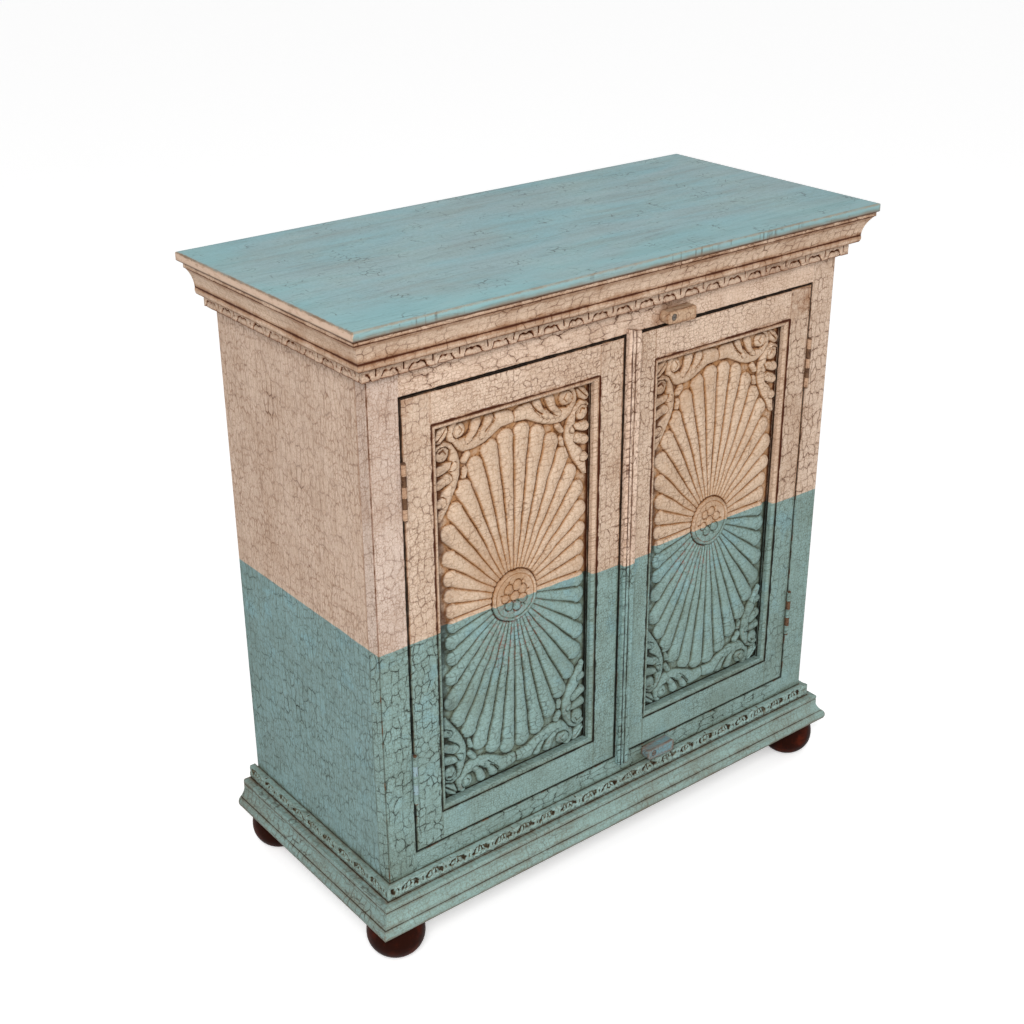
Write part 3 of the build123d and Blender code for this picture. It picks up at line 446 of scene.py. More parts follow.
crackle = make_crackle()
checks = make_checks()
edge_wear = make_edge_wear()
rim = make_rim()
crease = make_crease()
two_tone = make_two_tone()
old_paint = make_old_paint(crackle, checks)
bare_wood = make_bare_wood()


# ---------------------------------------------------------------- materials

def begin(name):
    material = bpy.data.materials.new(name)
    material.use_nodes = True
    tree = material.node_tree
    surface = tree.nodes["Principled BSDF"]
    place = tree.nodes.new("ShaderNodeTexCoord").outputs["Object"]
    return material, tree, surface, place


def finish_surface(tree, surface, outputs, depth, gloss=0.1, strength=1.0):
    join(tree, outputs["Colour"], surface.inputs["Base Color"])
    join(tree, outputs["Roughness"], surface.inputs["Roughness"])
    surface.inputs["Specular IOR Level"].default_value = gloss
    bump = put(
        tree, "ShaderNodeBump", {"Height": outputs["Height"], "Distance": depth, "Strength": strength})
    join(tree, bump.outputs[0], surface.inputs["Normal"])


def strongest(tree, masks):
    total = masks[0]
    for mask in masks[1:]:
        total = larger(tree, total, mask)
    return total


def dress(node, material):
    """Puts a material on a frame node, whose shape stays."""
    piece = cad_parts[node]
    if not piece.material_slots:
        piece.data.materials.append(material)
    for slot in piece.material_slots:
        slot.material = material


# how the flakes lie on a face: the axis counted across and the one counted up
FACES = {
    "front": ((1, 0.8, 0), (0, 0.5, 1)),
    "front left": ((1, -0.8, 0), (0, 0.5, 1)),
    "side": ((0.8, 1, 0), (0.5, 0, 1)),
    "front run": ((1, 0.1, 0), (0, -0.4, 1)),
    "left run": ((0.1, 1, 0), (-0.4, 0, 1)),
    "right run": ((0.1, 1, 0), (0.4, 0, 1)),
}


def paint_material(
        name, paint=CREAM, line=None, face="front", boxes=(), rims=(), wear=0.0025, wear_share=0.9,
        near_dirt=0.35, creases=(), lines=(), spots=(), rust=None, fade=None, cavity=0.0,
        deep=(0.80, 1.0), cavity_worn=0.0, cell=(11, 13), fine=(4.5, 6), grain=(7, 7, 120), cracks=0.8,
        fine_cracks=0.5, checks_share=0.3, patch=0.4, wander=1.0, soil=0.34, cream_share=1.0,
        crack_colour=CREAM_CRACK, dirt_colour=GRIME, teal=TEAL, bare=None, shift=(0, 0, 0)):
    """Old paint on one piece.

    cell, fine and grain are flake and grain sizes in mm. boxes are rubbed at their edges. rims are
    (corners, kind, thickness, share on the face, share on the wall); a "gap" rim is painted shadow in
    near black, a "line" rim a dark line and painted shadow in the crack colour. creases and lines are
    (axis, level, reach, share); creases bring dirt and painted shade, lines dark lines and painted
    shade. spots are (centre, radius, share), rust is (centre, radius), fade is (axis, near, far, share
    left) and bare is (axis, level) past which the board is unpainted. cavity darkens carved hollows
    with dirt and painted shade, and deep is the range of hollows painted darkest as shade.
    """
    material, tree, surface, place = begin(name)
    dirt, worn, dark, black = [], [], [], []
    if line is None:
        colours = {"Paint": paint, "Crack": crack_colour, "Dirt": dirt_colour}
    else:
        tone = use(tree, two_tone, Place=place, Line=line, Cream=paint, Teal=teal, Grime=dirt_colour)
        colours = {"Paint": tone["Paint"], "Crack": tone["Crack"], "Dirt": tone["Dirt"]}
        if cream_share != 1.0:
            cracks = ease(tree, tone["Lower"], 0.0, 1.0, cracks * cream_share, cracks)
    if rust:
        away = away_from(tree, place, rust[0])
        blotchy = blotches(tree, place, (130.0, 3.0, 0.6), 0.48, 0.6)
        rusty = times(
            tree, ease(tree, away, 0.02, rust[1], 1.0, 0.0), times(tree, tone["Lower"], blotchy))
        colours["Dirt"] = blend(tree, rusty, colours["Dirt"], shade(128, 66, 40))
        colours["Crack"] = blend(tree, rusty, colours["Crack"], shade(84, 34, 16))
    if fade:
        axis, near, far, share = fade
        cracks = times(
            tree, ease(tree, move(tree, "DOT_PRODUCT", place, axis), near, far, 1.0, share), cracks)
    rubs = [use(tree, edge_wear, Place=place, Low=low, High=high, Reach=wear) for low, high in boxes]
    for (low, high), kind, thickness, gap_share, wall_share in rims:
        middle = ((low[0] + high[0]) / 2, low[1], (low[2] + high[2]) / 2)
        half = ((high[0] - low[0]) / 2, 0.0, (high[2] - low[2]) / 2)
        edge = use(tree, rim, Place=place, Middle=middle, Half=half, Reach=wear, Line=thickness)
        rubs.append(edge)
        # a "gap" rim's masks go to the near-black painted shadow, a "line" rim's to the dark lines and
        # painted shadow
        masks = black if kind == "gap" else dark
        masks.append(times(tree, edge["Gap"], gap_share))
        masks.append(times(tree, edge["Wall"], wall_share))
    for rubbed in rubs:
        worn.append(times(tree, rubbed["Worn"], wear_share))
        dirt.append(times(tree, rubbed["Near"], near_dirt))
    # creases bring dirt and painted shade, lines dark lines and painted shade
    for masks, given in ((dirt, creases), (dark, lines)):
        for axis, level, reach, share in given:
            found = use(tree, crease, Place=place, Axis=axis, Level=level, Reach=reach)
            masks.append(times(tree, found["Dirt"], share))
    for centre, radius, share in spots:
        away = away_from(tree, place, centre)
        uneven = blotches(tree, place, (55.0, 4.0, 0.65), 0.35, 0.65, 0.4, 1.2)
        dirt.append(ease(tree, away, 0.0, times(tree, uneven, radius), share, 0.0))
    # carved hollows darken with dirt and painted shade, the deepest with painted shade in the crack
    # colour
    if cavity:
        hollow = put(tree, "ShaderNodeAttribute", attribute_name="cavity").outputs["Fac"]
        dirt.append(ease(tree, hollow, 0.49, 0.78, 0.0, 0.9 * cavity))
        dark = [times(tree, mask, ease(tree, hollow, 0.32, 0.6, 0.15, 1.0)) for mask in dark]
        dark.append(ease(tree, hollow, *deep, 0.0, cavity))
        if cavity_worn:
            tops = ease(tree, hollow, 0.42, 0.22)
            rub = blotches(tree, place, (90.0, 4.0, 0.6), 0.5, 0.66)
            worn.append(times(tree, times(tree, tops, rub), cavity_worn))
    moved = move(tree, "ADD", place, tuple(shift))
    across, along = FACES[face]
    outputs = use(
        tree, old_paint, Place=moved, Across=across, Along=along,
        Thin=min(WIDEST_CRACK, CRACK_WIDTH / math.sqrt(cell[0] * cell[1])),
        Cell=(cell[0] * MM, cell[1] * MM, 1.0), Fine_Cell=(fine[0] * MM, fine[1] * MM, 1.0),
        Grain_Step=tuple(v * MM for v in grain), Cracks=cracks, Fine_Cracks=fine_cracks,
        Grain=checks_share, Patch=patch, Wander=wander, Soil=soil,
        Dirty=strongest(tree, dirt) if dirt else 0.0, Dark=strongest(tree, dark) if dark else 0.0,
        Black=strongest(tree, black) if black else 0.0, Worn=strongest(tree, worn) if worn else 0.0,
        **colours)
    finish = {name: outputs[name] for name in ("Colour", "Roughness", "Height")}
    if bare:
        inward, level = bare
        board = use(tree, bare_wood, Place=place, Grain_Step=(0.03, 0.03, 0.5), Light=INNER_BROWN)
        inside = ease(tree, move(tree, "DOT_PRODUCT", place, inward), level - 0.0008, level - 0.0004)
        finish["Colour"] = blend(tree, inside, finish["Colour"], board["Colour"])
        finish["Height"] = times(tree, finish["Height"], minus(tree, 1.0, inside))
    finish_surface(tree, surface, finish, PAINT_DEPTH)
    return material


def painted(node, name, **look):
    dress(node, paint_material(name, **look))


def wood_material(name, grain, light=OLD_WOOD):
    material, tree, surface, place = begin(name)
    outputs = use(tree, bare_wood, Place=place, Grain_Step=tuple(v * MM for v in grain), Light=light)
    finish_surface(tree, surface, outputs, PAINT_DEPTH, gloss=0.3)
    return material


def metal_material(name, colour, rust, roughness, metallic):
    material, tree, surface, place = begin(name)
    patina = blotches(tree, place, (160.0, 5.0, 0.65), 0.4, 0.66)
    pits = cloud(tree, place, 700.0, 3.0, 0.6)
    rough = ease(tree, patina, 0.0, 1.0, roughness, min(1.0, roughness + 0.3))
    join(tree, ease(tree, patina, 0.0, 1.0, metallic, metallic * 0.35), surface.inputs["Metallic"])
    outputs = {"Colour": blend(tree, patina, colour, rust), "Roughness": rough, "Height": pits}
    finish_surface(tree, surface, outputs, METAL_DEPTH, gloss=0.5)
    return material


def foot_material():
    """Dark red-brown polish over turned wood, redder where it is thin and rubbed near the floor."""
    material, tree, surface, place = begin("Foot polish")
    rings = cloud(tree, move(tree, "MULTIPLY", place, (1.0, 1.0, 14.0)), 14.0, 3.0, 0.55)
    patch = blotches(tree, place, (26.0, 5.0, 0.6), 0.45, 0.7)
    colour = blend(tree, patch, FOOT_DARK, FOOT_RED)
    colour = blend(tree, ease(tree, rings, 0.5, 0.7, 0.0, 0.5), colour, FOOT_DARK)
    low = ease(tree, parts_of(tree, place)[2], 0.001, 0.006, 0.6, 0.0)
    colour = blend(tree, low, colour, DARK_WOOD)
    outputs = {"Colour": colour, "Roughness": ease(tree, patch, 0.0, 1.0, 0.34, 0.5), "Height": rings}
    finish_surface(tree, surface, outputs, PAINT_DEPTH, gloss=0.03, strength=0.6)
    return material


def hinge_material():
    """Browned iron, painted over with the door below the paint line."""
    material, tree, surface, place = begin("Door leaves of the left hinges")
    patina = blotches(tree, place, (160.0, 5.0, 0.65), 0.4, 0.66)
    iron_colour = blend(tree, patina, shade(104, 74, 50), shade(70, 42, 26))
    chips = blotches(tree, place, (240.0, 4.0, 0.6), 0.56, 0.64)
    paint = blend(tree, chips, shade(134, 158, 164), shade(70, 50, 36))
    lower = ease(tree, parts_of(tree, place)[2], PAINT_LINE, PAINT_LINE + 0.001, 1.0, 0.0)
    join(tree, ease(tree, lower, 0.0, 1.0, 0.6, 0.0), surface.inputs["Metallic"])
    outputs = {
        "Colour": blend(tree, lower, iron_colour, paint),
        "Roughness": ease(tree, patina, 0.0, 1.0, 0.5, 0.7), "Height": chips}
    finish_surface(tree, surface, outputs, METAL_DEPTH, gloss=0.5)
    return material


def top_material():
    """Turquoise wiped thin along the boards, greyer streaks, dark flecks and rubbed edges."""
    material, tree, surface, place = begin("Top turquoise")
    low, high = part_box("top_board")
    streaks = cloud(tree, move(tree, "MULTIPLY", place, (5.0, 42.0, 42.0)), 1.0, 6.0, 0.62, 0.5)
    broad = cloud(tree, move(tree, "MULTIPLY", place, (3.2, 9.0, 9.0)), 1.0, 4.0, 0.6, 0.8)
    colour = blend(tree, ease(tree, broad, 0.38, 0.66), TOP_TURQUOISE, TOP_BRIGHT)
    colour = blend(tree, ease(tree, streaks, 0.44, 0.74, 0.0, 0.5), colour, TOP_GREY)
    cloudy = blotches(tree, place, (11.0, 6.0, 0.68), 0.42, 0.7, 0.0, 0.45)
    colour = blend(tree, cloudy, colour, shade(152, 180, 178))
    grit = blotches(tree, place, (300.0, 2.0, 0.6), 0.35, 0.68, 0.0, 0.3)
    colour = blend(tree, grit, colour, shade(208, 206, 198), "MULTIPLY")
    at = parts_of(tree, place)
    front = ease(tree, at[1], low[1] + 0.12, low[1] + 0.005, 0.0, 0.7)
    ends = ease(tree, at[0], low[0] + 0.10, low[0] + 0.005, 0.0, 0.6)
    rim_glow = times(tree, larger(tree, front, ends), ease(tree, broad, 0.35, 0.6, 0.3, 1.0))
    colour = blend(tree, rim_glow, colour, shade(128, 172, 175))
    fine = use(tree, checks, Place=place, Step=(0.09, 0.006, 0.006), Width=0.035)
    colour = blend(tree, times(tree, fine["Line"], 0.2), colour, TEAL_CRACK)
    flecks = use(tree, crackle, Place=place, Cell=(0.014, 0.010, 1.0), Width=0.09, Order=0.8, Broken=0.5)
    where = blotches(tree, place, (22.0, 4.0, 0.7), 0.5, 0.62)
    colour = blend(tree, times(tree, times(tree, flecks["Crack"], where), 0.6), colour, TEAL_CRACK)
    rubbed = use(tree, edge_wear, Place=place, Low=tuple(low), High=tuple(high), Reach=0.0026)
    under = ease(tree, at[2], high[2] - 0.003, high[2] - 0.010, 0.0, 0.75)
    front_face = ease(tree, at[1], low[1] + 0.0012, low[1] + 0.003, 1.0, 0.0)
    patchy = blotches(tree, place, (24.0, 4.0, 0.6), 0.35, 0.65, 0.5, 1.0)
    colour = blend(tree, times(tree, times(tree, under, front_face), patchy), colour, shade(116, 94, 68))
    ragged = times(tree, blotches(tree, place, (110.0, 6.0, 0.8), 0.3, 0.7), 0.0036)
    brim = minus(tree, at[0], ragged)
    side = ease(tree, brim, low[0] - 0.0008, low[0] + 0.0008, 0.95, 0.0)
    spill = ease(tree, plus(tree, at[2], ragged), high[2] + 0.0002, high[2] + 0.0022, 1.0, 0.0)
    below = ease(tree, at[0], low[0] + 0.0002, low[0] + 0.0008, 1.0, 0.0)
    side = times(tree, larger(tree, side, below), spill)
    rubs = blotches(
        tree, move(tree, "MULTIPLY", place, (1.0, 1.0, 3.0)), (60.0, 5.0, 0.7), 0.5, 0.72, 0.0, 0.6)
    colour = blend(tree, side, colour, blend(tree, rubs, shade(203, 175, 153), shade(142, 102, 70)))
    for axis, strength, tint in ((0, 0.9, shade(112, 80, 50)), (1, 0.55, shade(150, 124, 96))):
        off_edge = larger(tree, minus(tree, at[axis], low[axis]), minus(tree, high[2], at[2]))
        off_edge = minus(tree, off_edge, times(tree, ragged, 0.6))
        scuff = ease(tree, off_edge, 0.0002, 0.0018, strength, 0.0)
        colour = blend(tree, times(tree, scuff, patchy), colour, tint)
    bottom = ease(tree, at[2], high[2] - 0.0094, high[2] - 0.0114, 0.0, 0.9)
    colour = blend(tree, bottom, colour, CREAM_CRACK)
    colour = blend(tree, times(tree, rubbed["Near"], 0.25), colour, shade(150, 128, 104))
    colour = blend(tree, times(tree, rubbed["Worn"], 0.3), colour, shade(110, 88, 66))
    relief = minus(tree, times(tree, streaks, 0.5), fine["Line"])
    outputs = {"Colour": colour, "Roughness": ease(tree, streaks, 0.3, 0.7, 0.5, 0.66), "Height": relief}
    finish_surface(tree, surface, outputs, TOP_DEPTH, gloss=0.4)
    return material


# ---------------------------------------------------------------- carved reliefs

def sway(x, z, size, seed):
    """A soft unevenness between about -1 and 1 over a face, as a hand-held gouge leaves."""
    random = np.random.default_rng(seed)
    total = 0
    for step in range(5):
        angle, phase = random.uniform(0, TURN, 2)
        rate = TURN / (size * (0.55 + 0.3 * step))
        total = total + np.sin((x * math.cos(angle) + z * math.sin(angle)) * rate + phase)
    return total / 3.2


def rise(value, low, high):
    t = np.clip((value - low) / (high - low), 0, 1)
    return t * t * (3 - 2 * t)


def groove(away, width):
    """1 on a line, falling evenly to 0 at a width from it."""
    return np.clip(1 - away / width, 0, 1)


def in_repeat(along, period):
    """Place within a repeat, counted from its middle."""
    return (along + period / 2) % period - period / 2


def from_stroke(x, z, points):
    """Distance from a tapering stroke, as a share of its half width; points are (x, z, half width)."""
    best = np.full(x.shape, 9.0)
    for (x0, z0, r0), (x1, z1, r1) in zip(points[:-1], points[1:]):
        length = (x1 - x0) ** 2 + (z1 - z0) ** 2
        t = np.clip(((x - x0) * (x1 - x0) + (z - z0) * (z1 - z0)) / length, 0, 1)
        away = np.hypot(x - x0 - t * (x1 - x0), z - z0 - t * (z1 - z0))
        best = np.minimum(best, away / (r0 + t * (r1 - r0)))
    return best


def from_line(x, z, points):
    """Distance in millimetres from a line through points."""
    return from_stroke(x, z, [(px, pz, 1.0) for px, pz in points])


def dome(share, height, fullness=2.8):
    return height * np.sqrt(np.clip(1 - share ** fullness, 0, 1))


SCROLLS = [
    [
        (0, 264, 8), (12, 266, 11), (24, 266, 12), (38, 258, 11), (52, 251, 10.5), (66, 247.5, 10.5),
        (80, 246.5, 10), (92, 251, 8.5), (100, 260, 7), (102, 270, 6), (97, 278, 5.5),
    ],
    [
        (123.5, 151.5, 3), (118.5, 164.5, 7.5), (111.5, 179.5, 10), (103.5, 194.5, 11), (97.5, 209.5, 10),
        (96.5, 224.5, 8.5), (98.5, 237.5, 7), (104.5, 248.5, 6), (114.5, 254.5, 5), (123.5, 250.5, 4.5),
    ],
]
LEAVES = [
    [(39.5, 271.5, 8), (45.5, 261.5, 6), (54.5, 251.5, 4)],
    [(60.5, 271.5, 9), (65.5, 259.5, 6.5), (75.5, 251.5, 4)],
    [(88.5, 268, 10.5), (88.6, 268.1, 10.5)],
    [(110, 276, 6), (116, 270, 8.5), (122, 264, 7)],
    [(116.5, 241.5, 11), (116.6, 241.6, 11)],
    [(123.5, 219.5, 7.5), (112.5, 222, 8), (100, 222, 6)],
    [(123.5, 199.5, 7.5), (109.5, 206.5, 8)],
    [(123.5, 174.5, 7), (119, 176, 6.5)],
    [(75.5, 232.5, 5), (81.5, 224.5, 4.5)],
    [(80, 212, 4), (82, 203, 3)],
]
GOUGES = [
    [(30.5, 281), (33, 272), (39, 263), (47.5, 256.5)],
    [(51, 281), (54, 270), (60, 259), (67, 251.5)],
    [(75, 274), (76, 264), (81, 257.5), (89, 256)],
    [(104.5, 281), (106, 272), (109, 262)],
    [(127.5, 209.5), (115.5, 212.5), (105.5, 218.5), (100.5, 226.5)],
    [(127.5, 188.5), (115.5, 191.5), (105.5, 198.5)],
    [(104.5, 245.5), (105, 237.5), (110, 230), (117.5, 228.5), (125.5, 232)],
    [(107, 279), (125, 262)],
]
PETALS = 40
PETAL_SPREAD = 0.72
OVAL_WIDE, OVAL_TALL = 141.5, 255.0
PANEL_WIDE, PANEL_TALL = 131.75, 283.75
PANEL_MIDDLE = 496.25
BOSS = 38.5


def carve_panel(x, z, half_width, lobes, twist, seed):
    """Height of a door carving above its ground, in millimetres, at places from the panel's middle."""
    x = x * PANEL_WIDE / half_width
    x = x + 0.9 * sway(x, z, 60, seed)
    z = z + 0.9 * sway(x, z, 60, seed + 1)
    radius = np.hypot(x, z)
    turn = np.arctan2(x / PETAL_SPREAD, z) % TURN
    step = TURN / PETALS
    index = np.floor(turn / step)
    random = np.random.default_rng(seed + 2)
    lift = random.uniform(-0.35, 0.25, PETALS)[index.astype(int) % PETALS]
    stretch = random.uniform(-3.0, 1.5, PETALS)[index.astype(int) % PETALS]

    def heading(t):
        return np.arctan2(PETAL_SPREAD * np.sin(t), np.cos(t))

    left, right = heading(index * step), heading((index + 1) * step)
    middle = heading((index + 0.5) * step)
    here = np.arctan2(x, z)
    to_left = radius * np.sin(np.abs(in_repeat(here - left, TURN)))
    to_right = radius * np.sin(np.abs(in_repeat(right - here, TURN)))
    half = np.maximum((to_left + to_right) / 2, 0.4)
    across = (to_left - to_right) / (to_left + to_right + 1e-6)
    reach = 1 / np.hypot(np.sin(middle) / OVAL_WIDE, np.cos(middle) / OVAL_TALL)
    room = np.where(np.sin(middle) < 0, 117.5, 125.0)
    reach = np.minimum(reach, room / np.maximum(np.abs(np.sin(middle)), 1e-3)) + stretch
    offset = in_repeat(here - middle, TURN)
    along, aside = radius * np.cos(offset), radius * np.sin(offset)
    tip_half = reach * np.abs(np.sin(in_repeat(right - left, TURN) / 2))
    past = np.maximum(along - (reach - tip_half * 1.05), 0)
    share = np.where(past > 0, np.hypot(past / 1.05, aside) / tip_half, np.abs(across))
    crown = 4.4 + lift + 2.8 * rise(along, 55, 150)
    soft = np.clip(1 - 1.5 / half, 0.35, 0.93)
    petal = crown * np.clip(1 - np.clip(share, 0, 1) ** 2.3, 0, 1) ** 0.62 * (0.3 + 0.7 * soft) + 0.4
    petal = np.where(share < 1, petal, 0.0)
    floor = 0.3 * rise(PANEL_WIDE - np.abs(x), 2, 16) * rise(PANEL_TALL - np.abs(z), 2, 16)
    height = np.maximum(petal, floor)

    side, tall = np.abs(x), np.abs(z)
    for scroll in SCROLLS:
        share = from_stroke(side, tall, scroll)
        height = np.where(share < 1.25, np.minimum(height, 0.5 + 9 * np.clip(share - 1, 0, 1)), height)
        height = np.maximum(height, dome(share, 6.8, 2.2))
    for leaf in LEAVES:
        share = from_stroke(side, tall, leaf)
        height = np.where(
            (share < 1.12) & (share > 0.94), np.minimum(height, 2.2 + 14 * np.abs(share - 1.03)), height)
        height = np.maximum(height, dome(share, 7.0, 2.0))
    for gouge in GOUGES:
        away = from_line(side, tall, gouge)
        height = height - 4.4 * groove(away, 2.3) * (height > 1.5)
    height = height - 4.0 * groove(from_line(side, tall, [(0, 252), (0, 284)]), 2.4) * (height > 1.5)
    height = height - 2.6 * groove(from_line(side, tall, [(88.5, 274), (84, 268), (88.5, 263.5)]), 1.8)
    height = height - 2.6 * groove(from_line(side, tall, [(121, 246), (116, 248), (112, 243)]), 1.8)

    disc = radius < BOSS + 2.2
    height = np.where(disc, 0.6, height)
    edge = 6.4 * rise(BOSS - radius, -0.4, 1.8)
    height = np.where(radius < BOSS + 0.4, np.maximum(height, edge), height)
    plate = 5.2 + 1.2 * rise(radius, BOSS - 4.6, BOSS - 3.4)
    plate = plate - 0.9 * groove(np.abs(radius - (BOSS - 5.6)), 1.4)
    reach = random.uniform(14.6, 16.6, lobes)
    spread = random.uniform(6.0, 7.4, lobes)
    lean = random.uniform(-0.12, 0.12, lobes)
    flower = [np.hypot(x, z) / 6.6]
    for number in range(lobes):
        centre = TURN * (number + 0.25) / lobes + lean[number]
        near_x, near_z = x - reach[number] * math.sin(centre), z - reach[number] * math.cos(centre)
        near_x, near_z = near_x + twist * near_z * 0.35, near_z - twist * near_x * 0.35
        flower.append(np.hypot(near_x, near_z) / spread[number])
        tip = [(r * math.sin(centre + 0.3), r * math.cos(centre + 0.3)) for r in (21.0, 25.5)]
        plate = plate - 3.0 * groove(from_line(x, z, tip), 1.7)
    for share in flower:
        plate = np.where(
            (share > 0.95) & (share < 1.3), np.minimum(plate, 2.2 + 12 * np.abs(share - 1.12)), plate)
    for share in flower:
        plate = np.maximum(plate, dome(share, 6.6, 2.6))
    height = np.where(radius < BOSS - 1.8, plate, height)
    height = height + 0.12 * sway(x, z, 9, seed + 3) + 0.10 * sway(x, z, 4.5, seed + 4)
    chips = np.clip(sway(x, z, 14, seed + 5) - 1.15, 0, 1)
    return np.clip(height - 1.2 * chips, 0.0, 7.6)


def blurred(field, size, beyond):
    """Mean of the heights near by, taken twice; beyond is ((left, right), (low, high)) past the edges."""
    for _ in range(2):
        for axis in (0, 1):
            width = [(0, 0), (0, 0)]
            width[axis] = (size + 1, size)
            padded = np.pad(field, width, mode="edge") if beyond is None else np.pad(
                field, width, constant_values=beyond)
            total = np.cumsum(padded, axis=axis)
            count = field.shape[axis]
            ahead = np.take(total, range(2 * size + 1, 2 * size + 1 + count), axis=axis)
            field = (ahead - np.take(total, range(count), axis=axis)) / (2 * size + 1)
    return field


FLAT = 0.45    # the cavity value of a plain back or wall, which takes no dirt and isn't rubbed


def relief(
        name, columns, rows, surface, place, material, body, nodes, finish_slot, spread, depth,
        beyond=None):
    """A carved slab: a grid lifted by surface, walled and closed, then set down by place."""
    mesh = bpy.data.meshes.new(name)
    shape = bmesh.new()
    bmesh.ops.create_grid(shape, x_segments=columns, y_segments=rows, size=0.5)
    rim = [edge for edge in shape.edges if edge.is_boundary]
    grown = bmesh.ops.extrude_edge_only(shape, edges=rim)["geom"]
    walls = [item for item in grown if isinstance(item, bmesh.types.BMVert)]
    bmesh.ops.translate(shape, verts=walls, vec=(0, 0, -1))
    bmesh.ops.edgeloop_fill(shape, edges=[item for item in grown if isinstance(item, bmesh.types.BMEdge)])
    bmesh.ops.recalc_face_normals(shape, faces=shape.faces)
    shape.to_mesh(mesh)
    shape.free()

    points = np.empty(len(mesh.vertices) * 3)
    mesh.vertices.foreach_get("co", points)
    points = points.reshape(-1, 3)
    u, v, front = points[:, 0] + 0.5, points[:, 1] + 0.5, points[:, 2] > -0.5
    grid_v, grid_u = np.meshgrid(np.arange(rows + 1) / rows, np.arange(columns + 1) / columns)
    heights = surface(grid_u, grid_v)
    broad = (blurred(heights, spread, beyond) - heights) / depth
    narrow = (blurred(heights, 1, None) - heights) / 0.8
    hollow = np.clip(0.5 + np.maximum(broad, narrow) / 2, 0, 1)
    column = np.rint(u * columns).astype(int)
    row = np.rint(v * rows).astype(int)
    points = place(u, v, heights[column, row], front)
    mesh.vertices.foreach_set("co", (np.stack(points, axis=1) * MM).ravel())
    # the cavity attribute marks hollows, which the paint darkens with dirt and painted shade
    dirt = mesh.attributes.new("cavity", "FLOAT", "POINT")
    dirt.data.foreach_set("value", np.where(front, hollow[column, row], FLAT))
    tidy = bmesh.new()
    tidy.from_mesh(mesh)
    bmesh.ops.recalc_face_normals(tidy, faces=tidy.faces)
    tidy.to_mesh(mesh)
    tidy.free()
    mesh.polygons.foreach_set("use_smooth", [True] * len(mesh.polygons))
    mesh.set_sharp_from_angle(angle=math.radians(60))
    mesh.materials.append(material)
    piece = bpy.data.objects.new(name, mesh)
    bpy.context.scene.collection.objects.link(piece)
    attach(piece, body)
    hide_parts(*nodes)
    return piece


GROUND_Y = -157.2
PANEL_THICK = 6.4
CARVING_STEP = 1.29
CARVING_ROWS = 440
BEAD_RISE = ((8.5, 7.5), (3.5, 8.5))    # how high the beads are taken to stand at a panel's four edges


def carved_panel(name, middle, half_width, body, node, material, lobes, twist, seed):
    def surface(u, v):
        return carve_panel(
            (u * 2 - 1) * half_width, (v * 2 - 1) * PANEL_TALL, half_width, lobes, twist, seed)

    def place(u, v, lift, front):
        x = middle + (u * 2 - 1) * half_width
        z = PANEL_MIDDLE + (v * 2 - 1) * PANEL_TALL
        y = np.where(front, GROUND_Y - lift, GROUND_Y + PANEL_THICK)
        return x, y, z

    columns = round(half_width * 2 / CARVING_STEP)
    return relief(
        name, columns, CARVING_ROWS, surface, place, material, body, [node], "carving_paint", spread=4,
        depth=3.0, beyond=BEAD_RISE)


# runs of carved moulding: length along the wall, with a mitre at a corner or a square end

FRIEZE_PERIOD, FRIEZE_TALL, FRIEZE_REACH = 41.4, 17.5, 12.25
BAND_PERIOD, BAND_TALL, BAND_REACH = 41.2, 20.0, 10.25
BODY_HALF, FACE_Y, BACK_Y = 416.5, -172.5, 199.5
RUN_STEP, RUN_ROW = 1.15, 0.95


def frieze_pattern(along, up, seed):
    """Hanging tongues between low arches; 0 is the moulding's face and cuts go below it."""
    along = along + 1.3 * sway(along, up, 60, seed) + 0.7 * sway(along, up, 13, seed + 7)
    up = up + 0.5 * sway(along, up, 11, seed + 8)
    place = in_repeat(along, FRIEZE_PERIOD)
    arch = from_line(
        place, up,
        [
            (-14, 0), (-11.5, 5.5), (-9, 8.6), (-4.5, 9.6), (0, 8.2), (4.5, 9.8), (9, 8.8), (11.5, 5.8),
            (14, 0)])
    width = 1.5 + 1.6 * rise(up, 4, 9) + 0.9 * sway(along, up, 9, seed + 9)
    leaf = (np.abs(place) < 13.0 - 0.3 * up) & (up < 9)
    height = np.where(leaf, -1.3 + 0.8 * np.clip(1 - (place / 9) ** 2, 0, 1), 0.0)
    cut = groove(arch, np.maximum(width, 0.7))
    cut = cut * (0.75 + 0.45 * sway(along, up, 17, seed + 10))
    height = height - 4.2 * np.clip(cut, 0, 1)
    between = FRIEZE_PERIOD / 2 - np.abs(place)
    dart = np.hypot(np.maximum(np.abs(up - 11.2) - 4.8, 0), between)
    height = height - 2.8 * groove(dart, 1.7)
    tongue = rise(between, 5.0, 12.0)
    return height - 0.9 * tongue * rise(up, 8, 15) - 1.2 * groove(np.abs(up - 16.8), 0.9)


